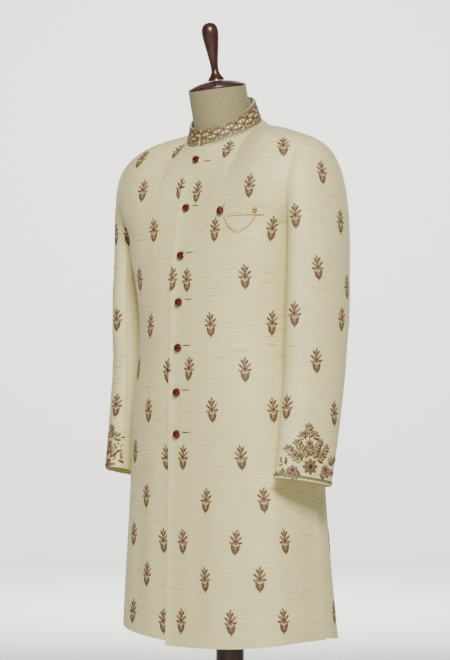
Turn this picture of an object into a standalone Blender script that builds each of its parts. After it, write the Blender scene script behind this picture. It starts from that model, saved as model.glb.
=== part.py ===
"""Sherwani coat on a limbless dress form.

Metres, +Z up. The origin is on the floor under the middle of the pole. The coat's
front faces -Y and the wearer's left is +X. Every cloth piece is a thin wall: its outer
face follows the sections below and its inner face is the same form moved inwards.
"""

from math import asin, atan2, cos, exp, pi, radians, sin
from typing import NamedTuple

import bmesh
import bpy
from mathutils import Matrix, Vector
from mathutils.bvhtree import BVHTree

# Driving dimensions of the cloth
WALL = 0.0015
SEAM_GAP = 0.0003
SLEEVE_SEAM_GAP = 0.0006
LAP_GAP = 0.0004
ARMPIT_Z = 1.348
HEM_Z = 0.530
HEM_RISE_LEFT = 0.013
HEM_RISE_RIGHT = 0.030
HEM_RISE_FRONT_RIGHT = 0.0085
SIDE_Y = 0.015
LAP_OVER_X = -0.021
LAP_UNDER_X = 0.0175
LAP_RAMP = 0.030

# Shoulder and neckline
SHOULDER_X = 0.226
SHOULDER_Y = -0.018
SHOULDER_Z = 1.527
SHOULDER_ARCH = 0.007
ARMHOLE_DEPTH = 0.72
ARMHOLE_DEPTH_END = 0.45
ARMHOLE_FLARE_END = 0.60
NECK_Y = -0.018
NECK_HALF_WIDTH = 0.078
NECK_HALF_DEPTH = 0.073
NECK_SIDE_Z = 1.560
NECK_TILT_RISE = 0.039
NECK_SEAM_TURN = radians(100)
NECK_SHARE = 0.400

# Collar
COLLAR_HEIGHT = 0.034
COLLAR_HEIGHT_BACK = 0.039
COLLAR_LEAN_IN = 0.011
COLLAR_LEAN_FORWARD = 0.006
COLLAR_GAP = 0.012
COLLAR_WALL = 0.0025
COLLAR_SEAM = 0.0012
COLLAR_BRAID_RISE = 0.06
COLLAR_LEAN_DEEP = 0.8
BRAID_WIDTH = 0.004
BRAID_WALL = 0.0012

# Fineness of the grids
NECK_COLUMNS = 6
SIDE_COLUMNS = 10
SKIRT_ROWS = 15
YOKE_ROWS = 9
CAP_ROWS = 5
ARM_ROWS = 9

# Sleeves
FRONT_SEAM_SHARE = 0.17
TILT_STEP = 0.03
TILT_SHARE = 0.7
CUFF_BRAID_SHARES = (0.07, 0.15)

# Buttons, pocket and brooch
CLEARANCE = 0.0006
BUTTON_DIAMETER = 0.017
BUTTON_DEPTH = 0.009
BUTTON_HEIGHTS = (1.492, 1.392, 1.296, 1.203, 1.113, 1.025, 0.943)
WELT_X = (0.1115, 0.1820)
WELT_Z = (1.3685, 1.3930)
WELT_COLUMNS = 12
WELT_ROWS = 4
WELT_WALL = 0.0016
WELT_GAP = 0.0010
BROOCH_X = 0.0945
BROOCH_Z = 1.379
BROOCH_DIAMETER = 0.017
BROOCH_DEPTH = 0.007
PIN_X = 0.169
PIN_Z = 1.377
PIN_DIAMETER = 0.010
PIN_DEPTH = 0.005
CHAIN_DIAMETER = 0.0018
CHAIN_POINTS = 24

# Dress form and stand
FORM_BOTTOM_Z = 0.800
FORM_EASE = 0.011
FORM_SEGMENTS = 28
FORM_LEVELS = 10
FORM_TOP_GAP = 0.005
NECK_RINGS = 4
NECK_START_Z = 1.580
NECK_START_Y = -0.024
NECK_START_TILT = 20
NECK_RADIUS = 0.0595
NECK_TOP_Z = 1.644
NECK_TOP_Y = -0.040
CAP_TILT = 11.5
POLE_RADIUS = 0.0285
BASE_THICKNESS = 0.028
TURNED_STEPS = 28


class Section(NamedTuple):
    """A level of the coat's body: half widths, front and back depth, squareness."""

    z: float
    front_half: float
    back_half: float
    front_y: float
    back_y: float
    square: float


BODY_SECTIONS = (
    Section(0.510, 0.2290, 0.2170, -0.170, 0.152, 2.8),
    Section(0.631, 0.2230, 0.2130, -0.166, 0.131, 2.8),
    Section(0.752, 0.2140, 0.2070, -0.163, 0.115, 2.8),
    Section(0.867, 0.2040, 0.2035, -0.161, 0.105, 2.8),
    Section(0.943, 0.2020, 0.2020, -0.161, 0.104, 2.8),
    Section(1.023, 0.1945, 0.1945, -0.162, 0.100, 2.8),
    Section(1.094, 0.1850, 0.1850, -0.158, 0.092, 2.7),
    Section(1.155, 0.1805, 0.1805, -0.157, 0.087, 2.7),
    Section(1.217, 0.1860, 0.1860, -0.156, 0.092, 2.8),
    Section(1.288, 0.1950, 0.1950, -0.151, 0.108, 3.4),
    Section(1.360, 0.2000, 0.2000, -0.140, 0.112, 4.4),
)


class Fold(NamedTuple):
    """A soft ridge of the skirt that grows towards the hem."""

    angle: float
    spread: float
    top_z: float
    height: float


SKIRT_FOLDS = (
    Fold(24, 10, 0.89, 0.0030),
    Fold(58, 9, 0.95, 0.0045),
    Fold(118, 10, 0.95, 0.0060),
    Fold(152, 9, 1.00, 0.0050),
    Fold(-38, 10, 0.92, 0.0035),
    Fold(-66, 8, 0.95, 0.0045),
    Fold(-124, 9, 0.98, 0.0055),
    Fold(-157, 10, 1.00, 0.0045),
)


class ArmSection(NamedTuple):
    """A level of the sleeve: middle, outer, inner and fore-and-aft half sizes, turn."""

    z: float
    x: float
    y: float
    outer: float
    inner: float
    deep: float
    turn: float


ARM_SECTIONS = (
    ArmSection(1.328, 0.2360, -0.013, 0.0465, 0.0335, 0.0860, 0),
    ArmSection(1.217, 0.2365, -0.016, 0.0465, 0.0340, 0.0870, 0),
    ArmSection(1.147, 0.2365, -0.019, 0.0460, 0.0340, 0.0850, -3),
    ArmSection(1.080, 0.2365, -0.026, 0.0440, 0.0340, 0.0790, -6),
    ArmSection(1.014, 0.2370, -0.036, 0.0420, 0.0335, 0.0725, -10),
    ArmSection(0.933, 0.2380, -0.049, 0.0380, 0.0330, 0.0670, -15),
    ArmSection(0.850, 0.2380, -0.068, 0.0340, 0.0310, 0.0630, -20),
)
RIGHT_SLEEVE_BACK = 0.019
RIGHT_CUFF_FORWARD = 0.009
RIGHT_SLEEVE_LIFT = 0.018


class ArmCrease(NamedTuple):
    """A soft trough across the sleeve: height, steepness across, position, size."""

    z: float
    slope: float
    around: float
    reach: float
    half: float
    depth: float


ARM_CREASES = (
    ArmCrease(1.168, 0.35, 80, 55, 0.016, 0.0028),
    ArmCrease(1.090, -0.30, 100, 50, 0.014, 0.0032),
    ArmCrease(1.045, 0.25, 40, 45, 0.015, 0.0022),
    ArmCrease(1.126, 0.20, -75, 50, 0.016, 0.0026),
)


class Ring(NamedTuple):
    """A level of the dress form: half width, side line, front and back, squareness, tilt."""

    z: float
    half: float
    side_y: float
    front_y: float
    back_y: float
    square: float
    tilt: float


FORM_SHOULDERS = (
    Ring(1.403, 0.1880, 0.010, -0.118, 0.098, 3.8, 0),
    Ring(1.448, 0.1870, 0.004, -0.108, 0.092, 3.4, 4),
    Ring(1.483, 0.1860, -0.002, -0.101, 0.084, 3.0, 9),
    Ring(1.506, 0.1830, -0.006, -0.097, 0.073, 2.6, 14),
    Ring(1.522, 0.1720, -0.009, -0.092, 0.064, 2.3, 18),
    Ring(1.533, 0.1450, -0.010, -0.086, 0.048, 2.0, 21),
    Ring(1.542, 0.0900, -0.012, -0.084, 0.036, 2.0, 24),
    Ring(1.560, 0.0762, -0.014, -0.088, 0.044, 2.0, 28),
)

# Route of the brooch chain: across the panel and up, both in metres
CHAIN_ROUTE = (
    (0.1030, 1.3710),
    (0.1055, 1.3640),
    (0.1101, 1.3530),
    (0.1200, 1.3420),
    (0.1311, 1.3370),
    (0.1433, 1.3400),
    (0.1550, 1.3490),
    (0.1638, 1.3600),
    (0.1679, 1.3700),
)

# Turned profiles: radius and height, from the top down
FINIAL_PROFILE = (
    (0.0000, 0.1180),
    (0.0070, 0.1172),
    (0.0135, 0.1130),
    (0.0170, 0.1050),
    (0.0176, 0.0970),
    (0.0166, 0.0860),
    (0.0140, 0.0700),
    (0.0110, 0.0520),
    (0.0085, 0.0360),
    (0.0075, 0.0250),
    (0.0082, 0.0170),
    (0.0115, 0.0100),
    (0.0165, 0.0045),
    (0.0174, 0.0003),
    (0.0000, 0.0003),
)
CAP_PROFILE = (
    (0.0000, 0.0170),
    (0.0180, 0.0166),
    (0.0330, 0.0142),
    (0.0460, 0.0100),
    (0.0560, 0.0060),
    (0.0600, 0.0042),
    (0.0605, 0.0020),
    (0.0595, 0.0000),
    (0.0000, 0.0000),
)
BASE_PROFILE = (
    (0.0000, 0.0280),
    (0.1700, 0.0280),
    (0.1950, 0.0262),
    (0.2060, 0.0215),
    (0.2100, 0.0140),
    (0.2085, 0.0040),
    (0.2050, 0.0000),
    (0.0000, 0.0000),
)

SILK = ("ivory raw silk", (0.86, 0.80, 0.62, 1.0), 0.55, 0.0)
BRAID = ("olive braid", (0.24, 0.22, 0.12, 1.0), 0.6, 0.0)
RUBY = ("dark red glass", (0.19, 0.005, 0.012, 1.0), 0.15, 0.0)
GOLD = ("gold plate", (0.83, 0.57, 0.22, 1.0), 0.25, 1.0)
LINEN = ("linen", (0.42, 0.36, 0.24, 1.0), 0.85, 0.0)
WOOD = ("dark walnut", (0.045, 0.016, 0.009, 1.0), 0.35, 0.0)


def clear_scene():
    for item in list(bpy.data.objects):
        bpy.data.objects.remove(item, do_unlink=True)


def make_material(finish):
    name, colour, roughness, metallic = finish
    material = bpy.data.materials.get(name)
    if material:
        return material
    material = bpy.data.materials.new(name)
    material.use_nodes = True
    shader = material.node_tree.nodes["Principled BSDF"]
    shader.inputs["Base Color"].default_value = colour
    shader.inputs["Roughness"].default_value = roughness
    shader.inputs["Metallic"].default_value = metallic
    return material


def smooth_step(value):
    value = min(1.0, max(0.0, value))
    return value * value * (3.0 - 2.0 * value)


def blend_rows(rows, z):
    """Smooth values between the rows of a table that is sorted by rising z."""
    if z <= rows[0].z:
        return rows[0]
    if z >= rows[-1].z:
        return rows[-1]
    last = len(rows) - 1
    low = max(i for i in range(last) if rows[i].z <= z)
    start, end = rows[low], rows[low + 1]
    before, after = rows[max(0, low - 1)], rows[min(last, low + 2)]
    step = end.z - start.z
    t = (z - start.z) / step
    values = []
    for a, b, c, d, z0, z3 in zip(before, start, end, after,
                                  [before.z] * len(start), [after.z] * len(start)):
        rise_in = (c - a) / (end.z - z0) * step
        rise_out = (d - b) / (z3 - start.z) * step
        values.append((2 * t**3 - 3 * t**2 + 1) * b + (t**3 - 2 * t**2 + t) * rise_in
                      + (3 * t**2 - 2 * t**3) * c + (t**3 - t**2) * rise_out)
    return type(start)(*values)


def section_y(section, x, half, end_y):
    """Height of the superellipse over x, from the side line towards end_y."""
    share = min(1.0, abs(x) / half)
    return SIDE_Y + (end_y - SIDE_Y) * (1 - share**section.square) ** (1 / section.square)


def fold_height(angle, z):
    total = 0.0
    for fold in SKIRT_FOLDS:
        grown = smooth_step((fold.top_z - z) / (fold.top_z - HEM_Z))
        total += fold.height * grown * exp(-((angle - fold.angle) / fold.spread) ** 2)
    return total


def column_shares(square):
    """Shares of the half width for each column, from the middle to the side."""
    neck_angle = asin(NECK_SHARE ** (square / 2))
    shares = [NECK_SHARE * sin(pi / 2 * i / NECK_COLUMNS) for i in range(NECK_COLUMNS)]
    for i in range(SIDE_COLUMNS + 1):
        angle = neck_angle + (pi / 2 - neck_angle) * i / SIDE_COLUMNS
        shares.append(sin(angle) ** (2 / square))
    return shares


def neck_turns():
    """Turns of the neckline's points on one side, from the front over the seam to the back."""
    front = [NECK_SEAM_TURN * i / NECK_COLUMNS for i in range(NECK_COLUMNS)]
    back = [NECK_SEAM_TURN + (pi - NECK_SEAM_TURN) * i / NECK_COLUMNS
            for i in range(NECK_COLUMNS + 1)]
    return front + back


def neck_point(turn):
    """A point of the neckline; turn is 0 in front and pi at the back."""
    return Vector((NECK_HALF_WIDTH * sin(turn), NECK_Y - NECK_HALF_DEPTH * cos(turn),
                   NECK_SIDE_Z - NECK_TILT_RISE * cos(turn)))


def top_point(column, share, is_front):
    """The end of a column: on the neckline, or past it on the shoulder seam."""
    if column <= NECK_COLUMNS:
        return neck_point(neck_turns()[column if is_front else -1 - column])
    start = neck_point(NECK_SEAM_TURN)
    end = Vector((SHOULDER_X, SHOULDER_Y, SHOULDER_Z))
    along = (share - NECK_SHARE) / (1 - NECK_SHARE)
    return start.lerp(end, along) + Vector((0, 0, SHOULDER_ARCH * sin(pi * along**0.7)))


def arch_depth(share, rise, is_front):
    """How much of a column's depth is left at a rise of 0 to 1 above the armpit."""
    if is_front:
        full = 1.30 + smooth_step((share - 0.08) / 0.34) + 0.30 * smooth_step((share - 0.5) / 0.4)
        end = 1.10 + 1.40 * smooth_step((share - 0.38) / 0.40)
    else:
        full = 1.55 + 1.05 * smooth_step(share / 0.45) - 0.40 * smooth_step((share - 0.45) / 0.55)
        end = full
    return max(0.0, 1 - rise**full) ** (1 / end)


class BodySide(NamedTuple):
    """One quarter of the body: front or back, and the side it is on."""

    is_front: bool
    side: int

    def end_y(self, section):
        return section.front_y if self.is_front else section.back_y

    def half(self, section):
        if not self.is_front:
            return section.back_half
        if self.side > 0:
            return section.front_half
        return (section.front_half + section.back_half) / 2

    def hem(self, share):
        """Height of the hem: it rises towards the side slits, more on the right."""
        if self.side > 0:
            return HEM_Z + HEM_RISE_LEFT * share**4
        middle = HEM_RISE_FRONT_RIGHT if self.is_front else 0.0
        end = HEM_RISE_FRONT_RIGHT + HEM_RISE_RIGHT
        return HEM_Z + middle + (end - middle) * share**1.5

    def skirt_point(self, share, row):
        """A point below the armpit: share of the half width, row from hem to armpit."""
        hem = self.hem(share)
        z = hem + (ARMPIT_Z - hem) * row
        section = blend_rows(BODY_SECTIONS, z)
        half = self.half(section)
        x = half * share
        y = section_y(section, x, half, self.end_y(section))
        angle = atan2(x * self.side, -(y - SIDE_Y)) * 180 / pi
        out = Vector((x, (y - SIDE_Y) * 1.3, 0)).normalized()
        spot = Vector((x, y, z)) + out * fold_height(angle, z)
        return Vector((spot.x * self.side, spot.y, spot.z))

    def yoke_point(self, column, share, level):
        """A point above the armpit: a column of the panel, level 0 to 1."""
        section = blend_rows(BODY_SECTIONS, ARMPIT_Z)
        rise = (1 - cos(pi * level)) / 2
        half = self.half(section)
        deep = ARMHOLE_DEPTH * sin(pi / 2 * min(1.0, level / ARMHOLE_DEPTH_END))
        edge = (1 - deep**section.square) ** (1 / section.square)
        base_y = section_y(section, half * share * edge, half, self.end_y(section))
        flare = (SHOULDER_X - half) * smooth_step(level / ARMHOLE_FLARE_END)
        x = (half + flare) * share
        top = top_point(column, share, self.is_front)
        arch = arch_depth(share, rise, self.is_front)
        x += (top.x - x) * rise**4
        y = top.y + (base_y - top.y) * arch
        return Vector((x * self.side, y, ARMPIT_Z + (top.z - ARMPIT_Z) * rise))


def body_grid(part_side):
    """Rows of points of one quarter, from the hem up, each from the middle outwards."""
    square = blend_rows(BODY_SECTIONS, ARMPIT_Z).square
    shares = column_shares(square)
    rows = [[part_side.skirt_point(share, row / SKIRT_ROWS) for share in shares]
            for row in range(SKIRT_ROWS)]
    rows += [[part_side.yoke_point(column, share, level / YOKE_ROWS)
              for column, share in enumerate(shares)] for level in range(YOKE_ROWS + 1)]
    return rows


def grid_normals(grid):
    """Unit normals of a grid of points, from the slopes along its rows and columns."""
    normals = []
    last_row, last_column = len(grid) - 1, len(grid[0]) - 1
    for r, row in enumerate(grid):
        line = []
        for c in range(len(row)):
            along = row[min(last_column, c + 1)] - row[max(0, c - 1)]
            up = grid[min(last_row, r + 1)][c] - grid[max(0, r - 1)][c]
            line.append(along.cross(up).normalized())
        normals.append(line)
    return normals


def flatten(normal, axis, left=0.0):
    """The normal with less of its part along one axis, so that two seam edges stay parallel."""
    flat = normal.copy()
    flat[axis] *= left
    return flat.normalized()


def wall_mesh(name, outer, inner):
    """A closed wall between two grids of the same layout."""
    shape = bmesh.new()
    faces = []
    for grid in (outer, inner):
        faces.append([[shape.verts.new(point) for point in row] for row in grid])
    out, back = faces
    rows, columns = len(outer) - 1, len(outer[0]) - 1
    for r in range(rows):
        for c in range(columns):
            shape.faces.new((out[r][c], out[r][c + 1], out[r + 1][c + 1], out[r + 1][c]))
            shape.faces.new((back[r][c], back[r + 1][c], back[r + 1][c + 1], back[r][c + 1]))
    for r in range(rows):
        for c, flip in ((0, True), (columns, False)):
            edge = (out[r][c], back[r][c], back[r + 1][c], out[r + 1][c])
            shape.faces.new(edge[::-1] if flip else edge)
    for c in range(columns):
        for r, flip in ((0, False), (rows, True)):
            edge = (out[r][c], back[r][c], back[r][c + 1], out[r][c + 1])
            shape.faces.new(edge[::-1] if flip else edge)
    bmesh.ops.recalc_face_normals(shape, faces=shape.faces)
    mesh = bpy.data.meshes.new(name)
    shape.to_mesh(mesh)
    shape.free()
    return mesh


def add_object(collection, name, mesh, finish, smooth_angle=40):
    item = bpy.data.objects.new(name, mesh)
    collection.objects.link(item)
    mesh.materials.append(make_material(finish))
    mesh.shade_smooth()
    mesh.set_sharp_from_angle(angle=radians(smooth_angle))
    return item


def shift_grid(grid, normals, amount):
    return [[point + normal * amount for point, normal in zip(row, line)]
            for row, line in zip(grid, normals)]


def lap_sink(x, side):
    """How far the under lap lies below the over lap."""
    if side > 0:
        return 0.0
    depth = WALL + LAP_GAP
    return depth * smooth_step((x - (LAP_OVER_X - LAP_RAMP)) / LAP_RAMP)


def with_lap(grid, side):
    """The quarter grid with one more column, beyond the middle, at the lap's edge."""
    lap_x = LAP_OVER_X if side > 0 else LAP_UNDER_X
    widened = []
    for row in grid:
        c = max(i for i in range(len(row) - 1) if abs(row[i].x) <= abs(lap_x))
        share = (abs(lap_x) - abs(row[c].x)) / (abs(row[c + 1].x) - abs(row[c].x))
        edge = row[c].lerp(row[c + 1], share)
        edge.x = lap_x
        widened.append([edge] + row)
    return widened


def panel_walls(part_side):
    """Outer and inner grids of a quarter of the coat, parted from its neighbours."""
    grid = body_grid(part_side)
    if part_side.is_front:
        grid = with_lap(grid, part_side.side)
    normals = grid_normals(grid)
    outward = 1 if (part_side.is_front == (part_side.side > 0)) else -1
    for r, row in enumerate(normals):
        for c in range(len(row)):
            normals[r][c] = row[c] * outward
    last = len(grid[0]) - 1
    for r in range(SKIRT_ROWS + 1):
        normals[r][last] = flatten(normals[r][last], 1)
    corner = NECK_COLUMNS + int(part_side.is_front)
    for c in range(corner, last + 1):
        normals[-1][c] = flatten(normals[-1][c], 1)
    if not part_side.is_front:
        for r in range(len(grid)):
            normals[r][0] = flatten(normals[r][0], 0)
    if part_side.is_front:
        sunk = [[point - normal * lap_sink(point.x, part_side.side)
                 for point, normal in zip(row, line)] for row, line in zip(grid, normals)]
        grid = sunk
    shift = Vector((0, -SEAM_GAP / 2 if part_side.is_front else SEAM_GAP / 2, 0))
    if not part_side.is_front:
        shift.x = part_side.side * SEAM_GAP / 2
    outer = [[point + shift for point in row] for row in grid]
    return outer, shift_grid(outer, normals, -WALL), normals


def arm_levels():
    """Heights of the sleeve's rings below the cap."""
    top, bottom = ARM_SECTIONS[0].z, ARM_SECTIONS[-1].z
    return [top + (bottom - top) * i / ARM_ROWS for i in range(ARM_ROWS + 1)]


def crease_depth(z, around, y_offset):
    total = 0.0
    for crease in ARM_CREASES:
        line = crease.z + crease.slope * y_offset
        across = exp(-((z - line) / crease.half) ** 2)
        along = exp(-((around - crease.around) / crease.reach) ** 2)
        total += crease.depth * across * along
    return total


def arm_point(z, around):
    """A point of the left sleeve below its cap; around is 0 outside and 90 in front."""
    section = blend_rows(ARM_SECTIONS[::-1], z)
    angle = radians(around)
    out = cos(angle) * (section.outer if cos(angle) > 0 else section.inner)
    fore = sin(angle) * section.deep
    dent = 1 - crease_depth(z, around, fore) / section.outer
    turn = radians(section.turn)
    x = section.x + (out * cos(turn) + fore * sin(turn)) * dent
    y = section.y - (fore * cos(turn) - out * sin(turn)) * dent
    higher = blend_rows(ARM_SECTIONS[::-1], z + TILT_STEP)
    slope = (higher.y - section.y) / TILT_STEP
    return Vector((x, y, z - TILT_SHARE * slope * (y - section.y)))


def armhole_loop():
    """Points of the left armhole, from the armpit over the front, and back."""
    front = body_grid(BodySide(True, 1))
    back = body_grid(BodySide(False, 1))
    loop = [front[SKIRT_ROWS + i][-1] for i in range(YOKE_ROWS + 1)]
    loop += [back[SKIRT_ROWS + i][-1] for i in range(YOKE_ROWS - 1, -1, -1)]
    return loop


def sleeve_grid():
    """Rings of the left sleeve from the armhole to the cuff, as open rows of points."""
    loop = armhole_loop()
    count = len(loop) - 1
    rings = []
    for q in range(CAP_ROWS):
        part = pi / 2 * q / CAP_ROWS
        reach, drop = sin(part), cos(part)
        ring = []
        for i, start in enumerate(loop):
            around = 180 - 360 * i / count
            end = arm_point(ARM_SECTIONS[0].z, around)
            spot = Vector((start.x + (end.x - start.x) * reach,
                           start.y + (end.y - start.y) * reach,
                           end.z + (start.z - end.z) * drop))
            ring.append(spot)
        rings.append(ring)
    for z in arm_levels():
        rings.append([arm_point(z, 180 - 360 * i / count) for i in range(count + 1)])
    return rings


def ring_normals(rings):
    """Outward normals of closed rings whose last point repeats the first."""
    count = len(rings[0]) - 1
    normals = []
    for r, ring in enumerate(rings):
        above = rings[max(0, r - 1)]
        below = rings[min(len(rings) - 1, r + 1)]
        line = []
        for i in range(count):
            along = ring[(i + 1) % count] - ring[i - 1]
            down = below[i] - above[i]
            line.append(down.cross(along).normalized())
        line.append(line[0].copy())
        normals.append(line)
    return normals


def mirror_grid(grid, first_row=0):
    """The right sleeve's points: below its cap it hangs a little further back and higher."""
    mirrored = []
    for r, row in enumerate(grid, start=first_row):
        line = []
        for point in row:
            low = smooth_step((ARMPIT_Z - point.z) / 0.45)
            back = RIGHT_SLEEVE_BACK * smooth_step(r / CAP_ROWS) - RIGHT_CUFF_FORWARD * low
            lift = RIGHT_SLEEVE_LIFT * low
            line.append(Vector((-point.x, point.y + back, point.z + lift)))
        mirrored.append(line)
    return mirrored


def sleeve_halves():
    """Outer and inner grids and normals of the top and under halves of the left sleeve."""
    rings = sleeve_grid()
    normals = ring_normals(rings)
    for r in range(CAP_ROWS):
        normals[r] = [flatten(normal, 0, r / CAP_ROWS) for normal in normals[r]]
    normals = [normals[0]] + [
        [(above + middle * 2 + below).normalized() for above, middle, below in zip(*lines)]
        for lines in zip(normals, normals[1:], normals[2:])] + [normals[-1]]
    rings = [[point + Vector((SEAM_GAP, 0, 0)) for point in ring] for ring in rings]
    inner = shift_grid(rings, normals, -WALL)
    count = len(rings[0]) - 1
    front_seam = round(count * FRONT_SEAM_SHARE)
    back_seam = count - front_seam
    top = (front_seam, back_seam)
    halves = {}
    for name, columns in (("top", list(range(top[0], top[1] + 1))),
                          ("under", list(range(top[1], count)) + list(range(0, top[0] + 1)))):
        outside = [[ring[c].copy() for c in columns] for ring in rings]
        inside = [[ring[c].copy() for c in columns] for ring in inner]
        facing = [[line[c] for c in columns] for line in normals]
        for edge, neighbour in ((0, 1), (-1, -2)):
            for out_row, in_row in zip(outside, inside):
                away = (out_row[neighbour] - out_row[edge]).normalized() * SLEEVE_SEAM_GAP / 2
                out_row[edge] += away
                in_row[edge] += away
        halves[name] = (outside, inside, facing)
    return halves


def add_coat(collection):
    quarters = (("front_left", True, 1), ("front_right", True, -1),
                ("back_left", False, 1), ("back_right", False, -1))
    for name, is_front, side in quarters:
        outer, inner, _ = panel_walls(BodySide(is_front, side))
        add_object(collection, name, wall_mesh(name, outer, inner), SILK)
    for half, (outer, inner, _) in sleeve_halves().items():
        for side, flip in (("left", False), ("right", True)):
            name = f"sleeve_{side}_{half}"
            grids = (mirror_grid(outer), mirror_grid(inner)) if flip else (outer, inner)
            add_object(collection, name, wall_mesh(name, *grids), SILK)


def collar_point(angle, height_share, lift=0.0):
    """A point of the collar's outer face; angle 0 is the middle front."""
    way = cos(angle)
    height = COLLAR_HEIGHT + (COLLAR_HEIGHT_BACK - COLLAR_HEIGHT) * (1 - way) / 2
    lean = COLLAR_LEAN_IN * height_share
    wide = NECK_HALF_WIDTH - lean + lift
    deep = NECK_HALF_DEPTH - lean * COLLAR_LEAN_DEEP + lift
    y = NECK_Y - COLLAR_LEAN_FORWARD * height_share - deep * way
    base = NECK_SIDE_Z - NECK_TILT_RISE * way + COLLAR_SEAM
    return Vector((wide * sin(angle), y, base + height * height_share))


def collar_strip(shares, lift, wall):
    """Outer and inner grids of a band of the collar, a row for each height share."""
    opening = asin((COLLAR_GAP / 2) / NECK_HALF_WIDTH)
    left = [opening] + neck_turns()[1:]
    angles = left + [2 * pi - angle for angle in left[-2::-1]]
    outer = [[collar_point(angle, share, lift) for angle in angles] for share in shares]
    inner = [[collar_point(angle, share, lift - wall) for angle in angles] for share in shares]
    return outer, inner


def add_collar(collection):
    band = collar_strip((0.0, 0.5, 1.0), 0.0, COLLAR_WALL)
    add_object(collection, "collar", wall_mesh("collar", *band), SILK)
    share = BRAID_WIDTH / COLLAR_HEIGHT
    edges = (("collar_edge_top", (1 - share, 1.0)),
             ("collar_edge_base", (COLLAR_BRAID_RISE, share + COLLAR_BRAID_RISE)))
    for name, shares in edges:
        strip = collar_strip(shares, SEAM_GAP + BRAID_WALL, BRAID_WALL)
        add_object(collection, name, wall_mesh(name, *strip), BRAID)


def add_cuff_braids(collection):
    outer, _, normals = sleeve_halves()["top"]
    strip_outer, strip_inner = [], []
    for share in CUFF_BRAID_SHARES:
        line_out, line_in = [], []
        for c in range(1, len(outer[0]) - 1):
            spot = outer[-1][c].lerp(outer[-2][c], share)
            normal = normals[-1][c]
            line_out.append(spot + normal * (SEAM_GAP + BRAID_WALL))
            line_in.append(spot + normal * SEAM_GAP)
        strip_outer.append(line_out)
        strip_inner.append(line_in)
    for side, flip in (("left", False), ("right", True)):
        name = f"cuff_braid_{side}"
        grids = (strip_outer, strip_inner)
        if flip:
            grids = (mirror_grid(strip_outer, CAP_ROWS), mirror_grid(strip_inner, CAP_ROWS))
        add_object(collection, name, wall_mesh(name, *grids), BRAID)


def front_tree():
    """A search tree of the left front's outer face."""
    grid, _, _ = panel_walls(BodySide(True, 1))
    width = len(grid[0])
    points = [point for row in grid for point in row]
    faces = [(r * width + c, r * width + c + 1, (r + 1) * width + c + 1, (r + 1) * width + c)
             for r in range(len(grid) - 1) for c in range(width - 1)]
    return BVHTree.FromPolygons(points, faces)


def front_surface(tree, x, z):
    """The point of the left front over x and z, with its outward normal."""
    spot, normal, _, _ = tree.ray_cast(Vector((x, -1, z)), Vector((0, 1, 0)))
    return spot, normal if normal.y < 0 else -normal


def add_disc(collection, name, centre, normal, diameter, depth, finish, clearance):
    """A domed round piece that lies on the cloth."""
    shape = bmesh.new()
    bmesh.ops.create_uvsphere(shape, u_segments=12, v_segments=6, radius=0.5)
    turn = normal.to_track_quat("Z", "Y").to_matrix().to_4x4()
    place = Matrix.Translation(centre + normal * (clearance + depth / 2))
    size = Matrix.Diagonal((diameter, diameter, depth, 1))
    bmesh.ops.transform(shape, matrix=place @ turn @ size, verts=shape.verts)
    mesh = bpy.data.meshes.new(name)
    shape.to_mesh(mesh)
    shape.free()
    return add_object(collection, name, mesh, finish)


def add_buttons(collection, tree):
    for number, z in enumerate(BUTTON_HEIGHTS, start=1):
        spot, normal = front_surface(tree, 0.0, z)
        add_disc(collection, f"button_{number}", spot, normal,
                 BUTTON_DIAMETER, BUTTON_DEPTH, RUBY, CLEARANCE)


def add_welt(collection, tree):
    outer, inner = [], []
    for r in range(WELT_ROWS + 1):
        z = WELT_Z[0] + (WELT_Z[1] - WELT_Z[0]) * r / WELT_ROWS
        line_out, line_in = [], []
        for c in range(WELT_COLUMNS + 1):
            x = WELT_X[0] + (WELT_X[1] - WELT_X[0]) * c / WELT_COLUMNS
            spot, normal = front_surface(tree, x, z)
            line_in.append(spot + normal * WELT_GAP)
            line_out.append(spot + normal * (WELT_GAP + WELT_WALL))
        outer.append(line_out)
        inner.append(line_in)
    add_object(collection, "welt_pocket", wall_mesh("welt_pocket", outer, inner), SILK)


def smooth_route(route, count):
    """Points along a smooth curve through the route."""
    points = []
    last = len(route) - 1
    for i in range(count + 1):
        place = last * i / count
        k = min(last - 1, int(place))
        t = place - k
        a, b = route[max(0, k - 1)], route[k]
        c, d = route[k + 1], route[min(last, k + 2)]
        points.append(0.5 * ((2 * b) + (c - a) * t + (2 * a - 5 * b + 4 * c - d) * t**2
                             + (3 * b - a - 3 * c + d) * t**3))
    return points


def add_brooch(collection, tree):
    spot, normal = front_surface(tree, BROOCH_X, BROOCH_Z)
    add_disc(collection, "brooch_head", spot, normal, BROOCH_DIAMETER, BROOCH_DEPTH,
             RUBY, CLEARANCE)
    spot, normal = front_surface(tree, PIN_X, PIN_Z)
    lift = WELT_GAP + WELT_WALL + CLEARANCE
    add_disc(collection, "brooch_pin", spot, normal, PIN_DIAMETER, PIN_DEPTH, GOLD, lift)
    rise = WELT_GAP + WELT_WALL + SEAM_GAP + CHAIN_DIAMETER / 2
    route = []
    for x, z in CHAIN_ROUTE:
        spot, normal = front_surface(tree, x, z)
        route.append(spot + normal * rise)
    points = smooth_route(route, CHAIN_POINTS)
    curve = bpy.data.curves.new("brooch_chain", "CURVE")
    curve.dimensions = "3D"
    curve.bevel_depth = CHAIN_DIAMETER / 2
    curve.bevel_resolution = 2
    curve.use_fill_caps = True
    spline = curve.splines.new("POLY")
    spline.points.add(len(points) - 1)
    for knot, point in zip(spline.points, points):
        knot.co = (*point, 1)
    item = bpy.data.objects.new("brooch_chain", curve)
    item.data.materials.append(make_material(GOLD))
    collection.objects.link(item)


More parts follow.
